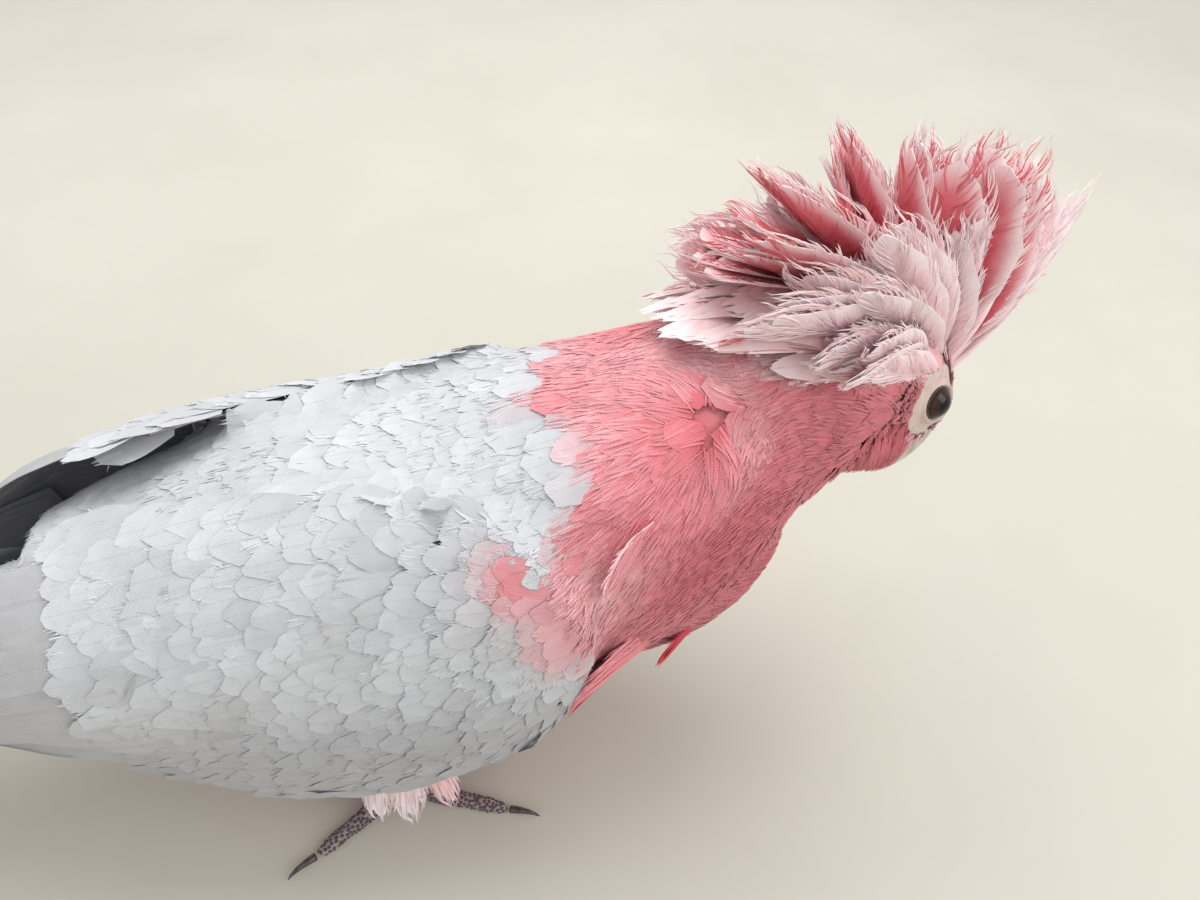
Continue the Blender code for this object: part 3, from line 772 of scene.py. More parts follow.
def follicle_tree():
    """Geometry Nodes that sow points evenly over the faces of one bed of feathers."""
    tree, start, end = new_group("Follicles", (("Bed", "Int"), ("Spacing", "Float"), ("Seed", "Int")))
    bed = add_node(tree, "GeometryNodeInputNamedAttribute", {"Name": "bed"}, data_type="INT").outputs["Attribute"]
    links = {2: bed, 3: start["Bed"]}
    chosen = add_node(tree, "FunctionNodeCompare", links, data_type="INT", operation="EQUAL").outputs["Result"]
    links = {"Points": sowing(tree, start, chosen, 3.0)["Points"]}
    fed(tree, end, {"Geometry": add_node(tree, "GeometryNodePointsToVertices", links).outputs["Mesh"]})
    return tree


def bed_numbers():
    """The kind of feather that each face of the skin carries, and each face's middle."""
    middles = np.array([hide.points[list(face)].mean(axis=0) for face in hide.faces])
    owner = np.array(owners_of(middles, FLESH))
    place = on_head(middles)
    _, tip = plumage(middles)
    beds = np.where(tip[:, 0] > 1.25 * tip[:, 1], BEDS["rose"], BEDS["back"])
    on_wing = np.char.startswith(owner, "wing")
    beds[np.char.startswith(owner, "thigh")] = BEDS["thigh"]
    beds[on_wing] = BEDS["wing"]
    beds[owner == "tail_coverts_upper"] = BEDS["over tail"]
    beds[owner == "tail_coverts_under"] = BEDS["under tail"]
    hidden = on_wing & (hide.normals[:, 1] * np.sign(middles[:, 1]) < -0.35)
    ends = (hide.normals[:, 0] < -0.62) & (on_wing | np.char.startswith(owner, "tail"))
    beds[hidden | ends] = BEDS["bare"]
    ahead, _, up = place.T
    crown = (ahead > -36) & (up > 0.5 * (ahead + 13)) & (middles[:, 0] > 100)
    beds[crown] = BEDS["crown"]
    beds[(ahead > -10) & ~crown & (owner == "head")] = BEDS["face"]
    for mirror in (1, -1):
        beds[np.linalg.norm(place - EYE_PLACE * (1, mirror, 1), axis=1) < BARE_EYE] = BEDS["bare"]
    beds[np.linalg.norm((place - BILL_PLACE) / (1, 1, 1.25), axis=1) < BARE_BILL] = BEDS["bare"]
    return beds, middles


follicles = follicle_tree()
bed_of_face, face_middles = bed_numbers()
skin.data.attributes.new("bed", "INT", "FACE").data.foreach_set("value", bed_of_face.astype(np.int32))


def sown(bed, spacing, seed):
    """Places in millimetres, about `spacing` apart, on the faces of one bed."""
    mesh = put_through(follicles, skin.data, Bed=BEDS[bed], Spacing=spacing * MM, Seed=seed)
    points = corners(mesh) / MM
    bpy.data.meshes.remove(mesh)
    return points


def lie(points, normals):
    """The way the coat lies at places in millimetres: from the bill back over the head, neck and body."""
    x, _, z = points.T
    slope = np.interp(x, (SPINE_X[1:] + SPINE_X[:-1]) / 2, np.diff(SPINE_Z) / np.diff(SPINE_X))
    way = unit(np.stack((-np.ones_like(x), np.zeros_like(x), -slope), axis=1))
    sag = rise(x, 66, 92) * rise(126 - z, 0, 32) * 0.95 + 0.12
    way = way + np.stack((np.zeros_like(x), np.zeros_like(x), -sag), axis=1)
    for mirror, strength in ((-1, 2.2), (1, 1.1)):
        offset = points - (WHORL + (0.7, 0.3, 0.0)) * (1, mirror, 1)
        away = np.linalg.norm(offset, axis=1, keepdims=True)
        way = way + unit(offset) * strength * np.exp(-((away / 13) ** 2))
    place = on_head(points)
    down = unit(off_head(CHIN) - points)
    turn = (rise(place[:, 0], -22, 2) * rise(-place[:, 2], 0, 9))[:, None]
    from_bill = unit(unit(points - off_head(BILL_PLACE)) * (1 - turn) + down * turn)
    share = rise(place[:, 0], -42, -14)[:, None]
    return flattened(unit(way) * (1 - share) + from_bill * share, normals)


def laid(surface, roots, lengths, widths, follow, steps=BED_STEPS):
    """The bed of each feather: places, cross directions and normals along it, and how its sides fall."""
    spots, normals, faces = surface.nearest(roots)
    along, outs, ways = [], [], []
    way = follow(spots, normals)
    step = (lengths / (steps - 1))[:, None]
    for _ in range(steps):
        for store, values in ((along, spots), (outs, normals), (ways, way)):
            store.append(values)
        ahead = spots + way * step
        touch, facing, _ = surface.nearest(ahead + normals * 0.6)
        past = np.linalg.norm(touch - ahead, axis=1, keepdims=True) > 0.3 * step + 0.9
        past = past | (np.sum(facing * normals, axis=1, keepdims=True) < 0.4)
        spots, normals = np.where(past, ahead, touch), np.where(past, normals, facing)
        way = flattened(way * 0.75 + follow(spots, normals) * 0.25, normals)
    along, outs, ways = (np.stack(values, axis=1) for values in (along, outs, ways))
    across = unit(np.cross(outs, ways))
    falls = []
    for side in (-1, 1):
        edge = along + across * side * widths[:, None, None] / 2
        drop = np.sum((surface.nearest(edge)[0] - along) * outs, axis=2)
        falls.append(np.clip(drop, -0.25 * widths[:, None], 0.12 * widths[:, None]))
    bed = {"at": along, "out": outs, "across": across, "left": falls[0], "right": falls[1]}
    return bed | {"length": lengths, "width": widths, "face": faces}


def some_of(bed, chosen):
    return {name: values[chosen] for name, values in bed.items()}


def on_bed(bed, share, across, lift):
    """Places at shares of each feather's length, at `across` from -1 to 1 and `lift` millimetres above."""
    steps = bed["at"].shape[1]
    spot = np.clip(share, 0, None) * (steps - 1)
    index = np.clip(spot.astype(int), 0, steps - 2)
    part = spot - index
    rows = np.arange(len(bed["at"]))[:, None]

    def between(name):
        first, last = bed[name][rows, index], bed[name][rows, index + 1]
        return mixed(first, last, part) if first.ndim > 2 else first * (1 - part) + last * part

    fall = np.where(across < 0, between("left"), between("right")) * across**2
    half = bed["width"][:, None] / 2
    return between("at") + between("across") * (across * half)[..., None] + between("out") * (lift + fall)[..., None]


def patch_of(bed, share, across):
    """Each feather's small patch of the map OFBake, at its root."""
    offset = np.broadcast_arrays(across * PATCH / 2, (share - 0.5) * PATCH)
    return hide_map[bed["face"]][:, None] + np.stack(offset, axis=-1)


def barb_place(bed, share, across):
    """Millimetres across and along each feather, for its barbs."""
    return np.stack((across * bed["width"][:, None] / 2, share * bed["length"][:, None]), axis=-1)


class Coat:
    """Gathers feathers and strands of one kind, and turns them into a piece."""

    def __init__(self):
        self.points, self.faces, self.tints, self.maps, self.barbs, self.count = [], [], [], [], [], 0

    def add(self, points, faces, tints, patch, barbs):
        """Like shapes: points (count, corners, 3), triangles of one, and values for each corner."""
        count, size = points.shape[:2]
        offsets = self.count + np.arange(count)[:, None, None] * size
        self.faces.append((faces[None] + offsets).reshape(-1, 3))
        for store, values in ((self.points, points), (self.tints, tints), (self.maps, patch), (self.barbs, barbs)):
            store.append(values.reshape(count * size, -1))
        self.count += count * size

    def show(self, name, material, slot, nodes=()):
        points, faces = np.concatenate(self.points) * MM, np.concatenate(self.faces)
        mesh = bpy.data.meshes.new(name)
        mesh.vertices.add(len(points))
        mesh.vertices.foreach_set("co", points.ravel())
        mesh.loops.add(faces.size)
        mesh.loops.foreach_set("vertex_index", faces.ravel().astype(np.int32))
        mesh.polygons.add(len(faces))
        mesh.polygons.foreach_set("loop_start", np.arange(0, faces.size, 3, dtype=np.int32))
        rounded(mesh).update(calc_edges=True)
        mesh.set_sharp_from_angle(angle=math.radians(70))
        colour_vertices(mesh, np.concatenate(self.tints))
        for layer, values in (("OFBake", self.maps), ("Barbs", self.barbs)):
            flat = np.concatenate(values)[faces.ravel()]
            mesh.uv_layers.new(name=layer).data.foreach_set("uv", flat.ravel())
        show(mesh, material, nodes)


def grid_faces(rows, columns):
    """Triangles of a grid, counted row by row, that face along +out."""
    i, j = np.meshgrid(np.arange(rows - 1), np.arange(columns - 1), indexing="ij")
    a = (i * columns + j).ravel()
    b, c, d = a + 1, a + columns + 1, a + columns
    return np.concatenate((np.stack((a, b, c), 1), np.stack((a, c, d), 1)))


def vane_faces(rows, columns):
    """A grid closed underneath by a strip between its long edges, and by fans at its ends."""
    left = np.arange(rows) * columns
    right = left + columns - 1
    under = [(left[i], left[i + 1], right[i + 1]) for i in range(rows - 1)]
    under += [(left[i], right[i + 1], right[i]) for i in range(rows - 1)]
    ends = [(0, j + 1, j) for j in range(1, columns - 1)]
    ends += [(left[-1], left[-1] + j, left[-1] + j + 1) for j in range(1, columns - 1)]
    return np.concatenate((grid_faces(rows, columns), np.array(under), np.array(ends)))


def grid_of(count, rows, columns):
    """How far along and across each corner of a vane's grid lies."""
    share = np.linspace(0, 1, rows)[None, :, None] * np.ones((count, 1, columns))
    across = np.linspace(-1, 1, columns)[None, None, :] * np.ones((count, rows, 1))
    return share, across


def widened(share, root, wide):
    """A vane's half width at a share of its length: from `root` to 1 at the share `wide`."""
    return root + (1 - root) * np.sin(np.clip(share / wide, 0, 1) * math.pi / 2)


def both(tints, count):
    """The root and tip colours, one row for each feather."""
    return (np.broadcast_to(tint, (count, 3))[:, None] for tint in tints)


def add_vanes(coat, bed, rng, tints, lift, rows=6, columns=7, end=0.32, fray=0.07, camber=0.10, root=0.35):
    """Soft vanes with round, frayed ends. `tints` gives the root and tip colours of each."""
    count, flat = len(bed["width"]), (len(bed["width"]), rows * columns)
    share, across = grid_of(count, rows, columns)
    ragged = rng.uniform(-1, 1, (count, 1, columns)) * fray
    along = share * (1 - end * np.abs(across) ** 2.2 * share + ragged * share**3)
    side = across * widened(share, root, 0.6)
    half = bed["width"][:, None, None] / 2
    height = lift[0] + (lift[1] - lift[0]) * share + camber * half * (1 - across**2) * np.minimum(share * 3, 1)
    height = height + rng.uniform(-0.12, 0.12, (count, 1, 1)) + rng.uniform(-0.1, 0.1, (count, 1, columns)) * share
    along, side, height = (values.reshape(flat) for values in (along, side, height))
    points = on_bed(bed, along, side, height)
    colours = mixed(*both(tints, count), np.clip(along**1.3, 0, 1)) * rng.uniform(0.93, 1.05, (count, 1, 1))
    coat.add(points, vane_faces(rows, columns), colours, patch_of(bed, along, side), barb_place(bed, along, side))


def strand_faces():
    """Triangles of a ridged strand: three rings of left, ridge and right, then the tip."""
    faces = []
    for ring in (0, 3):
        a, b, c, d, e, f = range(ring, ring + 6)
        faces += [(a, b, e), (a, e, d), (b, c, f), (b, f, e), (a, d, f), (a, f, c)]
    return np.array(faces + [(6, 7, 9), (7, 8, 9), (6, 9, 8), (0, 2, 1)])


STRAND = strand_faces()


def add_fibres(coat, bed, rings, tints, shade, slant=0.0):
    """Ridged strands. Each ring gives how far along and across they are, their height, half width, ridge
    and colour, and the last one, their tips, has no width."""
    count, each = shade.shape
    gathered = []
    for along, middle, height, step, ridge, depth in rings:
        tint = mixed(*both(tints, count), depth) * shade[..., None]
        patch, place = patch_of(bed, along, np.clip(middle, -1, 1)), barb_place(bed, along, middle)
        for way, up in zip((0,) if step is None else (-1, 0, 1), (1,) if step is None else RAISED):
            aside = 0 if step is None else way * step
            points = on_bed(bed, along - aside * slant, middle + aside, height + up * ridge)
            gathered.append((points, tint, patch, place))
    points, tint, patch, place = (np.stack(values, axis=2) for values in zip(*gathered))
    like = (count * each, points.shape[2], -1)
    coat.add(points.reshape(like), STRAND, *(values.reshape(like) for values in (tint, patch, place)))


def add_strands(coat, bed, rng, tints, lift, each=8, start=(0.15, 0.6), reach=(0.85, 1.12), thick=0.42,
                gather=(1.0, 0.6), ridge=1.0):  # fmt: skip
    """Loose barbs that run along each feather and part or gather from `gather[0]` to `gather[1]` of its width."""
    count = len(bed["width"])
    fan = np.linspace(-1, 1, each)[None] + rng.uniform(-0.16, 0.16, (count, each))
    begin = rng.uniform(*start, (count, each))
    finish = rng.uniform(*reach, (count, each)) - 0.22 * fan**2
    wander = np.round(fan * 1.4 + rng.uniform(-0.4, 0.4, (count, 1))) / 1.4 - fan
    shade = rng.uniform(0.88, 1.1, (count, each)) * rng.uniform(0.86, 1.08, (count, 1))
    high = rng.uniform(-0.15, 0.35, (count, each))
    rings = []
    for share, half, tall in ((0.0, 0.7, 0.16), (0.42, 1.0, 0.2), (0.78, 0.75, 0.16), (1.0, 0.0, 0.05)):
        along = begin + (finish - begin) * share
        middle = fan * (gather[0] + (gather[1] - gather[0]) * share) + 0.45 * wander * share * share
        step = thick * half / (bed["width"][:, None] / 2) if half else None
        height = lift[0] + (lift[1] - lift[0]) * along + high * share
        rings.append((along, middle, height, step, tall * ridge, np.clip(0.25 + 0.75 * along, 0, 1)))
    add_fibres(coat, bed, rings, tints, shade)


def feather_finish(name, roughness=0.72, line=0.5, contrast=0.18, depth=0.00012, shaft=0.12):
    """Barbs as fine slanting lines beside a shaft, over the feather's own tint."""
    finish = Finish(name, roughness, sheen=0.25, specular=0.22)
    tint = finish.add("ShaderNodeAttribute", attribute_name="Tint").outputs["Color"]
    barbs = finish.add("ShaderNodeUVMap", uv_map="Barbs").outputs["UV"]
    place = finish.add("ShaderNodeSeparateXYZ", {0: barbs}).outputs
    side = finish.maths("ABSOLUTE", place["X"])
    slant = finish.maths("MULTIPLY_ADD", side, -1.35, place["Y"])
    slant = finish.maths("MULTIPLY_ADD", finish.noise(700.0, 3.0), 0.55, slant)
    wave = finish.maths("SINE", finish.maths("MULTIPLY", slant, 2 * math.pi / line))
    wave = finish.maths("MULTIPLY_ADD", wave, 0.5, 0.5)
    stem = finish.maths("LESS_THAN", side, shaft)
    dark = finish.maths("MULTIPLY_ADD", wave, -contrast, 1.0)
    dark = finish.maths("MULTIPLY", dark, finish.maths("MULTIPLY_ADD", finish.noise(240.0, 4.0), 0.22, 0.9))
    dark = finish.maths("MULTIPLY_ADD", stem, -0.06, dark)
    finish.feed("Base Color", finish.shaded(tint, dark))
    finish.bump(finish.maths("MULTIPLY_ADD", stem, 1.6, wave), 0.6, depth)
    return finish.material


def clear_of_wing(roots):
    """Shortens the feathers that grow just in front of a wing, so that its leading edge stays clear."""
    middles = face_middles[bed_of_face == BEDS["wing"]]
    wings = KDTree(len(middles))
    for i, place in enumerate(middles):
        wings.insert(place, i)
    wings.balance()
    away = np.array([wings.find(place)[2] for place in roots.tolist()])
    near = (1 - rise(away, 1.5, 13)) * rise(112 - roots[:, 2], -4, 6) * rise(roots[:, 0], 48, 56)
    return 1 - 0.45 * near


soft_vane = feather_finish("Soft vane")
rng = np.random.default_rng(FEATHER_SEED)

back = Coat()
roots = sown("back", 3.8, 1)
size = rng.uniform(0.9, 1.12, len(roots)) * clear_of_wing(roots)
bed = laid(hide, roots, 14.0 * size, 8.8 * size, lie)
tints = plumage(roots)
add_vanes(back, bed, rng, tints, (1.3, 1.85), fray=0.08, camber=0.06)
add_strands(
    back, bed, rng, tints, (1.4, 1.95), each=16, start=(0.45, 0.85), reach=(0.92, 1.14),
    thick=0.22, gather=(0.95, 0.9), ridge=0.4,
)  # fmt: skip
back.show("feathers_back", soft_vane, "pale_rose_plumage")


# ---- Feathers of the breast, neck and belly ----
# Loose rose feathers whose long barbs part into hair-like clumps with deep rose between them. Each is a
# small vane under a fan of ridged strands, and all follow the lie of the coat about the neck's whorl. The
# vane is tinted darker than its strands, as painted shade in the gaps between the clumps.

ROSE_PIECES = "abcd"
rose_vane = feather_finish("Rose barbs", roughness=0.8, line=0.55, contrast=0.22, shaft=0.0)
roots = sown("rose", 2.3, 2)
size = rng.uniform(0.85, 1.2, len(roots)) * clear_of_wing(roots)
fine = rise(on_head(roots)[:, 0], -40, -14)
whole = laid(hide, roots, (10.5 - 3.0 * fine) * size, (5.6 - 1.2 * fine) * size, lie)
for i, letter in enumerate(ROSE_PIECES):
    every = slice(i, None, len(ROSE_PIECES))
    bed = some_of(whole, every)
    root_tint, tip_tint = plumage(roots)[0][every], plumage(roots)[1][every]
    coat = Coat()
    under = bed | {"width": bed["width"] * 1.35}
    # Painted shade: the vane under the strands runs only part way from the root's deep tint to the tip's, so that it
    # reads as shade in the gaps between the strands.
    add_vanes(coat, under, rng, (root_tint, mixed(root_tint, tip_tint, 0.6)), (1.1, 1.5), rows=4, columns=4, fray=0.2)
    add_strands(
        coat, bed, rng, (root_tint, tip_tint), (1.35, 1.95), each=12, start=(-0.05, 0.4), thick=0.26, ridge=0.7
    )
    coat.show(f"feathers_rose_{letter}", rose_vane, "rose_plumage")


# ---- Feathers of the face and crown ----
# The smallest tufts, pale and close about the bill and eyes, and longer chalky ones on the crown that
# run up into the crest.

face_vane = feather_finish("Face down", roughness=0.82, line=0.4, contrast=0.2, depth=0.0001, shaft=0.0)
face = Coat()
for name, spacing, length, width, lift in (("face", 1.5, 4.8, 2.6, (0.35, 1.1)), ("crown", 2.2, 9.0, 4.2, (0.6, 1.7))):
    roots = sown(name, spacing, 3)
    near = rise(np.linalg.norm(on_head(roots) - BILL_PLACE, axis=1), 6, 22)
    size = rng.uniform(0.85, 1.15, len(roots)) * (0.55 + 0.45 * near)
    bed = laid(hide, roots, length * size, width * size, lie)
    tints = plumage(roots)
    add_vanes(face, bed, rng, tints, lift, rows=4, columns=4, fray=0.14)
    add_strands(face, bed, rng, tints, (lift[0] + 0.2, lift[1] + 0.3), thick=0.2)
face.show("feathers_head", face_vane, "pale_rose_plumage")


# ---- Plumes and cheek fluff ----
# Longer soft plumes that fall over the crown's sides in two tiers, and the fluff of the cheeks that half
# covers the bill.

# CREST_ROSE is the deep rose of the crest's inner faces, partly a painted glow of light through the thin vanes; the
# loose feathers wear it as their own colour.
CREST_ROSE = (216, 66, 84)
CREST_ROSE_LIGHT = (247, 172, 180)
# CREST_SHADE_BLUSH is painted shade: the pinker roots of the white outer crest feathers, where the fan shades them.
# The faint pink in SNOW is partly painted shade of the same kind.
CREST_SHADE_BLUSH = (250, 206, 213)
SNOW = (255, 242, 243)
PLUME_TIERS = (
    (3.2, -24, 6, 0.0, 19.0, 6.5, (0.8, 3.4)),
    (3.6, -38, -10, 6.0, 27.0, 7.0, (1.6, 8.0)),
)  # spacing, from and to ahead, how far above the crown's edge, length, width and lift
CHEEK_SEED = 11


def over_bill(points, normals):
    return flattened(unit(off_head(CHIN) - points), normals)


plumes = Coat()
for spacing, first, last, above, length, width, lift in PLUME_TIERS:
    roots = sown("crown", spacing, 6)
    ahead, _, up = on_head(roots).T
    roots = roots[(ahead > first) & (ahead < last) & (up > 0.5 * (ahead + 13) + above)]
    size = rng.uniform(0.8, 1.15, len(roots))
    bed = laid(hide, roots, length * size, width * size, lie)
    tints = (paint(CREST_ROSE_LIGHT), paint(SNOW))
    add_vanes(plumes, bed, rng, tints, lift, rows=7, columns=7, camber=0.04, root=0.3)
    add_strands(
        plumes, bed, rng, tints, (lift[0] + 0.12, lift[1] + 0.15), each=24, start=(0.3, 0.85), reach=(0.92, 1.08),
        thick=0.24, gather=(0.95, 0.95), ridge=0.4,
    )  # fmt: skip

places = np.concatenate((sown("face", 1.7, 7), sown("bare", 1.7, 8)))
ahead, side, up = on_head(places).T
on_cheek = (np.abs(side) > 4.0) & (up < -4.0 + 0.5 * np.minimum(ahead, 0)) & (up > -20)
for chosen, draws in ((ahead > 0, rng), ((ahead > -9) & (ahead <= 0), np.random.default_rng(CHEEK_SEED))):
    roots = places[on_cheek & chosen]
    size = draws.uniform(0.8, 1.2, len(roots))
    bed = laid(hide, roots, 12.5 * size, 3.8 * size, over_bill)
    add_strands(
        plumes, bed, draws, plumage(roots), (0.6, 4.8), each=16, start=(-0.05, 0.4), thick=0.24, gather=(1.0, 0.9)
    )
plume_vane = feather_finish("Plume vane", roughness=0.8, line=0.4, contrast=0.07, depth=0.00006, shaft=0.1)
plumes.show("plumes_head", plume_vane, "pale_rose_plumage")


# ---- Feathers of the thighs and of the tail's roots ----
# Pinkish trousers down to the ankle, and pale grey coverts over and under the tail.

TAIL_GAP = 6.0  # no coverts grow this near to the rear end, where the tail comes out


def hanging(points, normals):
    return flattened(unit(lie(points, normals) + np.array((0.0, 0.0, -1.98))), normals)


lower = Coat()
for name, spacing, length, width, lift, follow, root_tint, tip_tint in (
    ("thigh", 3.4, 9.5, 5.5, (0.5, 1.7), hanging, ROSE_LIGHT, BLUSH),
    ("over tail", 3.2, 12.0, 6.5, (0.7, 1.2), lie, PEARL_SHADE, PEARL),
    ("under tail", 3.6, 12.0, 7.0, (0.7, 1.2), lie, PEARL_SHADE, PEARL),
):
    roots = sown(name, spacing, 4)
    if name != "thigh":
        roots = roots[roots[:, 0] > roots[:, 0].min() + TAIL_GAP]
    size = rng.uniform(0.85, 1.15, len(roots))
    bed = laid(hide, roots, length * size, width * size, follow)
    tints = (paint(root_tint), paint(tip_tint))
    add_vanes(lower, bed, rng, tints, lift, fray=0.1)
    add_strands(
        lower, bed, rng, tints, (lift[0] + 0.1, lift[1] + 0.1), each=14, start=(0.3, 0.8), reach=(0.9, 1.15),
        thick=0.26, gather=(0.95, 0.85),
    )  # fmt: skip
lower.show("feathers_lower", soft_vane, "pale_rose_plumage")


# ---- Crest ----
# Long broad feathers that stand up from the crown in a raised fan, cupped towards the face. Their inner
# side is deep rose, partly a painted glow of light through the thin vanes, and their back and tips are white,
# the outer ones pinker towards the root as painted shade, and their margins part into soft barbs.

CREST_ROWS = [
    (8.0, 17.0, 100, 45, 16),
    (1.0, 19.5, 113, 40, 18),
    (-6.0, 20.5, 131, 36, 19),
    (-14.0, 21.0, 157, 38, 19),
    (-23.0, 19.0, 194, 43, 18),
    (-29.0, 15.0, 214, 34, 16),
]  # ahead and up on the head, lean in degrees, length and width
CREST_TIERS = [
    (-1, 8, (196, 216), (30, 31), 12, (1, 13, 8), (-16, 13, 9), (20, 24)),
    (-1, 8, (182, 213), (39, 45), 14, (-1, 11, 12), (-20, 11, 12), (13, 17)),
    (-1, 6, (148, 182), (35, 39), 14, (4, 9.5, 14), (-8, 10, 14), (11, 13)),
    (-1, 9, (93, 142), (44, 33), 7, (11, 8, 13), (4, 9.5, 14.5), (8, 11)),
    (1, 8, (196, 216), (30, 31), 12, (1, 13, 8), (-16, 13, 9), (20, 24)),
    (1, 8, (180, 213), (40, 45), 14, (-1, 11, 12), (-20, 11, 12), (14, 18)),
    (1, 7, (118, 178), (43, 42), 15, (6, 9.5, 14), (-8, 10, 14), (17, 17)),
    (1, 6, (98, 117), (45, 44), 9, (11, 8, 13), (6, 9, 14), (9, 13)),
]  # side, how many, lean from and to, length from and to, width, first and last root, and how far they lean out
INNER_NODES = [f"crest_{row}_middle" for row in range(1, 6)]
OUTER_NODES = [f"crest_{row}_{side}" for row in range(1, 6) for side in ("left", "right")]


def free_bed(roots, ways, faces, lengths, widths, curl, cup, sway=0.0, steps=8):
    """Beds in the air: each bends towards its face and sideways by shares of its length, and is cupped across."""
    ways = unit(ways)
    across = unit(np.cross(faces, ways))
    faces = np.cross(ways, across)
    share = np.linspace(0, 1, steps)[None, :, None]
    size = lengths[:, None, None]
    curl, sway = (np.broadcast_to(value, len(roots))[:, None, None] for value in (curl, sway))
    bend = faces[:, None] * curl + across[:, None] * sway
    at = roots[:, None] + ways[:, None] * share * size + bend * share**2 * size
    slope = unit(ways[:, None] + bend * 2 * share)
    sides = unit(across[:, None] - slope * np.sum(across[:, None] * slope, axis=2, keepdims=True))
    fall = cup * widths[:, None] * np.ones((1, steps))
    bed = {"at": at, "out": np.cross(slope, sides), "across": sides, "left": fall, "right": fall}
    return bed | {"length": lengths, "width": widths, "face": hide.nearest(roots)[2]}


def turned_over(bed):
    """The same beds, seen from their back."""
    return bed | {name: -bed[name] for name in ("out", "across", "left", "right")}


def blade_faces(rows, columns):
    """Two grids, back to back, joined round their edge."""
    top = grid_faces(rows, columns)
    size = rows * columns
    rim = list(range(columns))[::-1] + [i * columns for i in range(1, rows)]
    rim += [(rows - 1) * columns + j for j in range(1, columns)]
    rim += [i * columns + columns - 1 for i in range(rows - 2, 0, -1)]
    edge = []
    for a, b in zip(rim, rim[1:] + rim[:1]):
        edge += [(a, b, b + size), (a, b + size, a + size)]
    return np.concatenate((top, top[:, ::-1] + size, np.array(edge)[:, ::-1]))


def add_blades(coat, bed, rng, inner, back, thick, rows=12, columns=9, end=0.4, fray=0.03, root=0.2, wide=0.6,
               lift=0.0, power=2.0, ramp=1.0, sunk=0.0, rim=None, rim_at=(0.3, 1.0)):  # fmt: skip
    """Firm vanes with their own tints on each side. `wide` is where along them they are widest, `sunk` how
    deep their roots lie, and `rim` the tint of their margin."""
    count, flat = len(bed["width"]), (len(bed["width"]), rows * columns)
    share, across = grid_of(count, rows, columns)
    ragged = rng.uniform(-1, 1, (count, 1, columns)) * fray
    along = share * (1 - end * np.abs(across) ** power * share + ragged * share**4)
    ruffle = rng.uniform(-0.5, 0.5, (count, 1, columns)) * 0.35 * share
    side = across * widened(share, root, wide)
    along, across, side, ruffle = (values.reshape(flat) for values in (along, across, side, ruffle))
    height = np.asarray(lift, float).reshape(-1, 1) + ruffle - sunk * (1 - rise(along, 0.0, 0.3))
    body = thick / 2 * (1 - 0.6 * np.abs(across))
    points = np.concatenate([on_bed(bed, along, side, height + skin) for skin in (body, -body)], axis=1)
    shades = []
    for tints in (inner, back):
        shade = mixed(*both(tints, count), np.clip(along**ramp, 0, 1)) * rng.uniform(0.94, 1.05, (count, 1, 1))
        if rim is not None:
            margin = rise(np.abs(across) ** 2 + along**3, *rim_at)
            shade = mixed(shade, np.broadcast_to(rim, (count, 3))[:, None], margin)
        shades.append(shade)
    maps = (np.tile(values, (1, 2, 1)) for values in (patch_of(bed, along, side), barb_place(bed, along, side)))
    coat.add(points, blade_faces(rows, columns), np.concatenate(shades, axis=1), *maps)


def add_barbs(coat, bed, rng, tints, each, reach, slope=0.2, thick=0.3, lift=0.0, first_at=0.12, within=0.8):
    """Loose barbs that leave a vane at `within` of its half width, on both sides."""
    count = len(bed["width"])
    reach = rng.uniform(*reach, (count, each))
    begin = rng.uniform(first_at, 0.93, (count, each))
    side = np.where(rng.random((count, each)) < 0.5, -1.0, 1.0)
    finish = begin + slope * rng.uniform(0.7, 1.3, (count, each))
    tall = rng.uniform(-0.4, 0.6, (count, each))
    shade = rng.uniform(0.88, 1.08, (count, each))
    rings = []
    for share, half, ridge in ((0.0, 0.8, 0.14), (0.42, 1.0, 0.16), (0.78, 0.7, 0.12), (1.0, 0.0, 0.04)):
        along = begin + (finish - begin) * share
        narrow = np.sqrt(np.clip(1 - np.clip((along - 0.62) / 0.46, 0, 1) ** 2, 0.02, 1))
        middle = side * widened(along, 0.2, 0.6) * narrow * (within + (reach - within) * share**0.8)
        step = thick * half / bed["width"][:, None] if half else None
        rings.append((along, middle, lift + tall * share, step, ridge, np.full(along.shape, 0.3 + 0.7 * share)))
    add_fibres(coat, bed, rings, tints, shade, slant=0.2)


def crest_rows():
    """The inner feathers on the head: the rows, and more between them."""
    listed = []
    for row, (this, later) in enumerate(zip(CREST_ROWS, CREST_ROWS[1:] + CREST_ROWS[-1:])):
        last = row == len(CREST_ROWS) - 1
        for side, between in ((-0.9, 0), (0, 0), (0.9, 0), (-0.45, 0.5), (0.45, 0.5))[: 3 if last else 5]:
            ahead, up, lean, length, width = (a + (b - a) * between for a, b in zip(this, later))
            angle = math.radians(lean + 9 * abs(side))
            face = np.array((math.sin(angle), -0.15 * side, -math.cos(angle)))
            start = np.array((ahead, side * 6.0, up - 3.0)) - face * 3 * abs(side)
            listed.append((start, leaning(angle, math.radians(14) * side), face, length, width))
    return (np.array(values, float) for values in zip(*listed))


def crest_fans():
    """The outer feathers on the head, white side out, in tiers on each side of the crown."""
    listed = []
    for mirror, number, leans, lengths, width, first, last, spreads in CREST_TIERS:
        for share in np.linspace(0, 1, number):
            lean, length, spread = (a + (b - a) * share for a, b in (leans, lengths, spreads))
            angle = math.radians(lean)
            face = np.array((0.5 * math.sin(angle), -0.85 * mirror, -0.5 * math.cos(angle)))
            start = (np.array(first) * (1 - share) + np.array(last) * share) * (1, mirror, 1)
            listed.append((start, leaning(angle, math.radians(spread) * mirror), face, length, width))
    return (np.array(values, float) for values in zip(*listed))


def leaning(angle, spread):
    return (math.cos(angle) * math.cos(spread), math.sin(spread), math.sin(angle) * math.cos(spread))


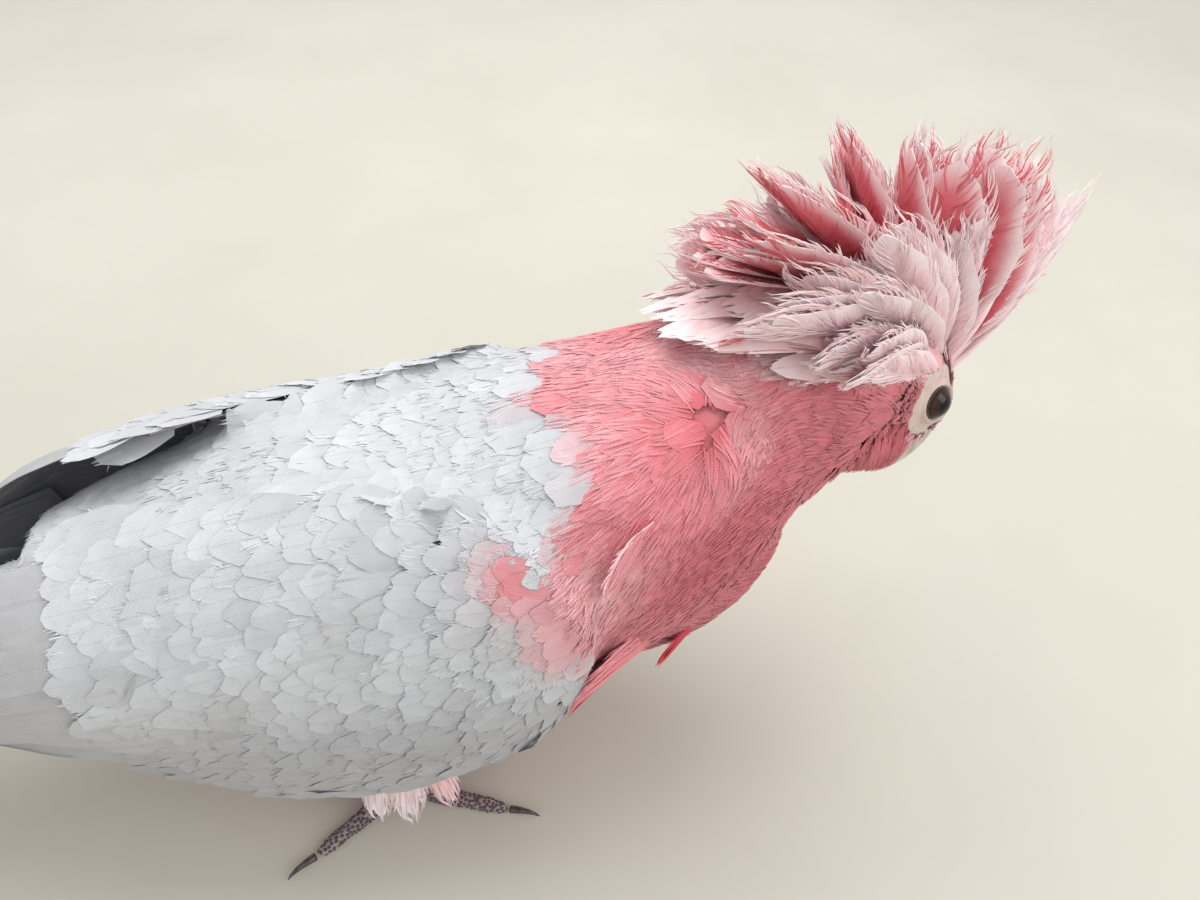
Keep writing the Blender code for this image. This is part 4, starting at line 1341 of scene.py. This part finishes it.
crest_vane = feather_finish("Crest vane", roughness=0.75, contrast=0.07, depth=0.00008, shaft=0.15)
white, shade_blush, rose, light = (paint(colour) for colour in (SNOW, CREST_SHADE_BLUSH, CREST_ROSE, CREST_ROSE_LIGHT))
# pink: the inner tints, their deep rose partly a painted glow of light through the vanes.
pink = (rose, mixed(rose, light, 0.5))
for group, shape, nodes in (("inner", crest_rows(), INNER_NODES), ("outer", crest_fans(), OUTER_NODES)):
    starts, ways, faces, lengths, widths = shape
    count = len(starts)
    ways = (ways + rng.normal(size=ways.shape) * 0.06) @ HEAD_AXES
    faces = (faces + rng.normal(size=faces.shape) * 0.22) @ HEAD_AXES
    lengths = lengths * rng.uniform(0.86, 1.08, count)
    widths = widths * rng.uniform(0.82, 1.15, count)
    roots = off_head(starts)
    if group == "outer":
        roots = hide.nearest(roots)[0]
    curl, sway = rng.uniform(0.0, 0.2, count), rng.normal(size=count) * 0.07
    bed = free_bed(roots, ways, faces, lengths, widths, curl, 0.16, sway)
    crest = Coat()
    # The outer backs run from shade_blush, painted shade at their roots, to white.
    outer = (shade_blush, white) if group == "outer" else pink
    add_blades(
        crest, bed, rng, pink, outer, thick=0.3, fray=0.035, ramp=1.8, rim=white, rim_at=(0.5, 1.15),
        wide=0.5, end=0.38,
    )  # fmt: skip
    add_barbs(crest, bed, rng, (light, white), 60, (0.98, 1.15), thick=0.26)
    add_strands(
        crest, bed, rng, (light, white), (0.1, 0.1), each=20, start=(0.5, 0.8), reach=(0.9, 1.03),
        thick=0.3, gather=(0.9, 0.95), ridge=0.5,
    )  # fmt: skip
    if group == "inner":
        for facing in (bed, turned_over(bed)):
            add_barbs(crest, facing, rng, pink, 44, (0.5, 1.0), slope=0.16, lift=0.25, within=0.1)
    else:
        back = turned_over(bed)
        add_barbs(crest, back, rng, outer, 74, (0.5, 1.15), thick=0.32, lift=0.35, first_at=0.03, within=0.1)
    crest.show(f"crest_{group}", crest_vane, "pale_rose_plumage", nodes)


# ---- Loose feathers ----
# A few that stand away from the rest on the right side: rose ones along the lower edge of the breast, one
# lifted in front of the wing, and pinkish fluff under the wing's edge.

LOOSE = [
    ((98, -26, 68), (70, -40, 69), 14, ROSE_DEEP, ROSE, 0.1),
    ((98, -26, 63), (68, -41, 65), 14, ROSE_DEEP, ROSE, 0.1),
    ((95, -26, 59), (66, -41.5, 61), 14, ROSE_DEEP, ROSE, 0.1),
    ((90, -26, 56), (65, -41, 56), 13, ROSE_DEEP, CREST_ROSE, 0.2),
    ((104, -26, 63), (90, -32, 55), 5, ROSE_DEEP, CREST_ROSE, 0.0),
    ((85, -31, 110), (73, -38, 98), 7, ROSE, CREST_ROSE_LIGHT, 0.5),
    ((29, -37, 37), (32, -43, 18), 7, ROSE_LIGHT, BLUSH, 0.5),
    ((24, -37, 37), (21, -43, 14), 9, ROSE_LIGHT, SNOW, 0.5),
    ((18, -37, 37), (13, -42, 15), 8, BLUSH, SNOW, 0.5),
]  # root, tip, width, tints of its root and tip, and how pale its margin is
LOOSE_FACE = (0.1, -0.8, -0.35)

starts, ends, widths, firsts, lasts, margins = (np.array(values, float) for values in zip(*LOOSE))
lengths = np.linalg.norm(ends - starts, axis=1)
faces = np.broadcast_to(LOOSE_FACE, starts.shape)
bed = free_bed(starts, ends - starts, faces, lengths, widths, 0.06, -0.12, 0.05)
tints = (paint(firsts), paint(lasts))
pale = mixed(tints[1], paint(SNOW), margins)
loose = Coat()
add_blades(loose, bed, rng, tints, tints, thick=0.3, fray=0.08, rim=pale, wide=0.4)
add_barbs(loose, bed, rng, (tints[1], pale), 90, (1.0, 1.25), thick=0.24)
add_strands(
    loose, bed, rng, tints, (0.3, 0.4), each=30, start=(0.0, 0.8), reach=(0.9, 1.15), thick=0.24, gather=(0.8, 0.95)
)
loose.show("feathers_loose", crest_vane, "rose_plumage")


# ---- Wing coverts ----
# Scale-like pale grey feathers over the folded arm, small at the bend of the wing and larger behind it.
# They fan out from the bend, which has a rim and a small patch of pink.

BEND = np.array((76.0, 43.0, 98.0))  # on the left wing, mirrored for the right
WING_TIP = np.array((-200.0, 16.0, 63.0))
SHELL_VOXEL = 1.3 * MM
SHELL_GROW = 0.25 * MM
SHELL_SINK = 1.2 * MM


def wing_tints(points):
    """Pale grey, darker towards the wing's rear and, as painted shade under the light from above, towards its lower
    edge, with pink at the bend.
    """
    x, _, z = points.T
    cloud = drift(points, 22, 9)
    # low: darker towards the lower edge as painted shade, and darker towards the rear.
    low = np.clip(rise(84 - z, -6, 24) * 0.75 + rise(-x, 20, 90) * 0.4, 0, 1)
    tip = mixed(mixed(paint(PEARL), paint(DOVE), rise(cloud, -0.2, 0.9) * 0.6), paint(DOVE_SHADE), low * 0.85)
    root = mixed(paint(PEARL_SHADE), paint(DOVE_SHADE), low)
    rim = rise(x, 60, 65) * rise(z, 80, 88)
    patch = np.exp(-(((x - 63) / 7) ** 2 + ((z - 101) / 5) ** 2))
    pink = np.clip(np.maximum(rim, 1.4 * patch), 0, 1)
    return mixed(root, paint(ROSE), pink * 0.8), mixed(tip, mixed(paint(ROSE_LIGHT), paint(CORAL), patch), pink * 0.85)


def from_bend(points):
    """How far back from the bend of the wing places are, seen from the side."""
    return np.linalg.norm((points - BEND)[:, [0, 2]], axis=1)


def wing_lie(points, normals):
    """Out from the bend, and farther back straight towards the wing's tip."""
    mirror = np.sign(points[:, 1:2]) * (0, 1, 0) + (1, 0, 1)
    far = rise(from_bend(points), 18, 62)[:, None]
    return flattened(unit(points - BEND * mirror) * (1 - far) + unit(WING_TIP * mirror - points) * far, normals)


shells = {}
rim_roots = sown("wing", 2.4, 15)
rim_roots = rim_roots[(rim_roots[:, 0] > 56) & (rim_roots[:, 2] > 80)]
all_roots = np.concatenate((sown("wing", 3.5, 5), rim_roots))
for side, mirror in (("right", -1), ("left", 1)):
    names = [f"wing_{side}_{part}" for part in ("coverts", "secondaries", "primaries", "wing_tip")]
    shell = Surface(grown_together(names, SHELL_GROW, SHELL_VOXEL, 4, SHELL_SINK), facing=(0, mirror, 0.3))
    roots = all_roots[all_roots[:, 1] * mirror > 0]
    size = rng.uniform(0.92, 1.1, len(roots))
    lengths, widths = (7.5 + 0.12 * from_bend(roots)) * size, (5.6 + 0.05 * from_bend(roots)) * size
    # Feathers that would bend round the wing's edge are cut short.
    bed = laid(shell, roots, lengths, widths, wing_lie)
    straight = rise(np.sum(bed["out"][:, 0] * bed["out"][:, -1], axis=1), 0.55, 0.9)
    bed = laid(shell, roots, lengths * (0.5 + 0.5 * straight), widths, wing_lie)
    bed["face"] = hide.nearest(roots)[2]
    tints = wing_tints(roots)
    coverts = Coat()
    add_vanes(coverts, bed, rng, tints, (0.8, 1.35), fray=0.06, end=0.36, camber=0.07)
    add_strands(
        coverts, bed, rng, tints, (0.9, 1.42), each=12, start=(0.5, 0.88), reach=(0.95, 1.1),
        thick=0.2, gather=(0.9, 0.9), ridge=0.4,
    )  # fmt: skip
    coverts.show(f"wing_{side}_covert_feathers", soft_vane, "grey_plumage")
    shells[side] = shell


# ---- Flight feathers ----
# Long firm grey vanes with dark shafts: the secondaries lie over one another down the side of the wing,
# and the primaries run out from under them to its tip.

PRIMARIES = 10
SECONDARIES = 13
flight_vane = feather_finish("Flight vane", roughness=0.5, line=0.7, contrast=0.14, depth=0.0001, shaft=0.45)


def flight_row(kind):
    """Where the feathers of one row start, how long and wide they are, and how high they lie."""
    step = np.arange(PRIMARIES if kind == "primary" else SECONDARIES)
    if kind == "primary":
        lengths = 62 + 8.3 * step - 2.0 * np.maximum(step - 7, 0)
        return -58 - 1.0 * step, 76 - 2.3 * step, lengths, np.full(len(step), 12.5), -0.1 - 0.08 * step
    lengths = 70 + 8.0 * np.minimum(step, 4) - 1.5 * step
    return -8 - 1.0 * step, 108 - 4.5 * step, lengths, np.full(len(step), 15.0), 0.8 - 0.1 * step


FLIGHT_LOOKS = {
    "primary": ((SLATE, SLATE_DARK), (SLATE, SLATE), {"rim": paint(DOVE_SHADE), "end": 0.4, "power": 1.7}),
    "secondary": ((DOVE, DOVE_SHADE), (SLATE, SLATE), {"rim": paint(PEARL_SHADE), "end": 0.3, "power": 2.2}),
}
for side, mirror in (("right", -1), ("left", 1)):
    shell, flight = shells[side], Coat()
    for kind, (outside, inside, looks) in FLIGHT_LOOKS.items():
        x, z, lengths, widths, lift = flight_row(kind)
        starts = np.stack((x, np.full(len(x), 60.0 * mirror), z), axis=1).tolist()
        hits = [shell.tree.ray_cast(Vector(spot), Vector((0, -mirror, 0)))[0] for spot in starts]
        roots = np.array([tuple(hit or spot) for hit, spot in zip(hits, starts)])
        bed = laid(shell, roots, lengths, widths, wing_lie, steps=12)
        bed["face"] = hide.nearest(roots)[2]
        add_blades(
            flight, bed, rng, paint(outside), paint(inside), thick=0.5, rows=18, fray=0.004, root=0.55,
            wide=0.3, lift=lift, sunk=2.0, rim_at=(0.9, 1.6), **looks,
        )  # fmt: skip
    nodes = [f"wing_{side}_{part}" for part in ("secondaries", "primaries", "wing_tip")]
    flight.show(f"wing_{side}_flight", flight_vane, "slate_plumage", nodes)


# ---- Tail ----
# Twelve long grey vanes in a narrow fan, six a side, each under the one nearer the middle.

TAIL_LENGTH = 146.0
TAIL_WIDTH = 21.0
TAIL_ROOT = (-56.6, 1.5, 74.0)
TAIL_SLOPE = math.radians(9)
TAIL_STEP = 0.62  # each lies this much under the one before

listed = []
for i in range(6):
    for sign in (1, -1):
        spread = math.radians(1.2 + 2.0 * i) * sign
        root = (TAIL_ROOT[0], sign * TAIL_ROOT[1], TAIL_ROOT[2] - (2 * i + (sign < 0)) * TAIL_STEP)
        way = leaning(math.pi + TAIL_SLOPE, spread)
        listed.append((root, way, TAIL_LENGTH * (1 - 0.022 * i)))
starts, ways, lengths = (np.array(values, float) for values in zip(*listed))
up = np.broadcast_to((0.0, 0.0, 1.0), starts.shape)
bed = free_bed(starts, ways, up, lengths, np.full(len(starts), TAIL_WIDTH), -0.027, -0.04, steps=10)
tail = Coat()
tints = (paint((DOVE_SHADE, SLATE_DARK)), paint((SLATE, SLATE_DARK)))
add_blades(tail, bed, rng, *tints, thick=0.4, rows=16, end=0.1, fray=0.003, root=0.45, wide=0.5, power=2.4)
tail_nodes = [f"tail_{side}_{i}" for side in ("left", "right") for i in range(1, 7)]
tail.show("tail", flight_vane, "slate_plumage", tail_nodes)


# ---- Floor, light and camera ----
# A plain pale floor, soft studio light from above and in front, and the viewing angle.

FLOOR_REACH = 3.0
SOFTBOXES = (
    ("Softbox overhead", (0.1, 0.35, 0.95), 0.7, 6.5),
    ("Softbox front", (0.7, -0.5, 0.7), 0.6, 2.5),
)  # place, side and watts
LIT = Vector((0.04, 0, 0.08))
CAMERA_PLACE = Vector((0.0484, -0.1376, 0.2521))
CAMERA_AIM = (12.9, 47.1, 2.3)  # degrees: turned towards the head, looking down, and rolled
CAMERA_LENS = 26.0

floor_mesh = bpy.data.meshes.new("floor")
floor_corners = [(x * FLOOR_REACH, y * FLOOR_REACH, 0) for x, y in ((-1, -1), (1, -1), (1, 1), (-1, 1))]
floor_mesh.from_pydata(floor_corners, [], [(0, 1, 2, 3)])
finish = Finish("Pale floor", 0.75)
finish.feed("Base Color", finish.mix(finish.noise(9.0, 5.0), (0.50, 0.485, 0.42, 1), (0.60, 0.58, 0.51, 1)))
floor_mesh.materials.append(finish.material)
placed("floor", floor_mesh)

world = bpy.data.worlds.new("Studio")
bpy.context.scene.world = world
world.use_nodes = True
fed(world.node_tree, world.node_tree.nodes["Background"], {"Color": (1.0, 0.99, 0.97, 1), "Strength": 0.85})
for name, place, size, power in SOFTBOXES:
    light = bpy.data.lights.new(name, "AREA")
    light.shape, light.size, light.energy = "SQUARE", size, power
    lamp = placed(name, light)
    lamp.location = place
    lamp.rotation_euler = (LIT - Vector(place)).to_track_quat("-Z", "Y").to_euler()

turn, down, roll = (math.radians(angle) for angle in CAMERA_AIM)
view = Vector((math.sin(turn) * math.cos(down), math.cos(turn) * math.cos(down), -math.sin(down)))
right = view.cross(Vector((0, 0, 1))).normalized()
axes = Matrix((right, right.cross(view), -view)).transposed() @ Matrix.Rotation(roll, 3, "Z")
lens = bpy.data.cameras.new("Camera")
lens.sensor_width, lens.lens = 36.0, CAMERA_LENS
lens.clip_start = 0.01
camera = placed("Camera", lens)
camera.matrix_world = Matrix.Translation(CAMERA_PLACE) @ axes.to_4x4()
bpy.context.scene.camera = camera
bpy.context.scene.view_settings.view_transform = "Standard"
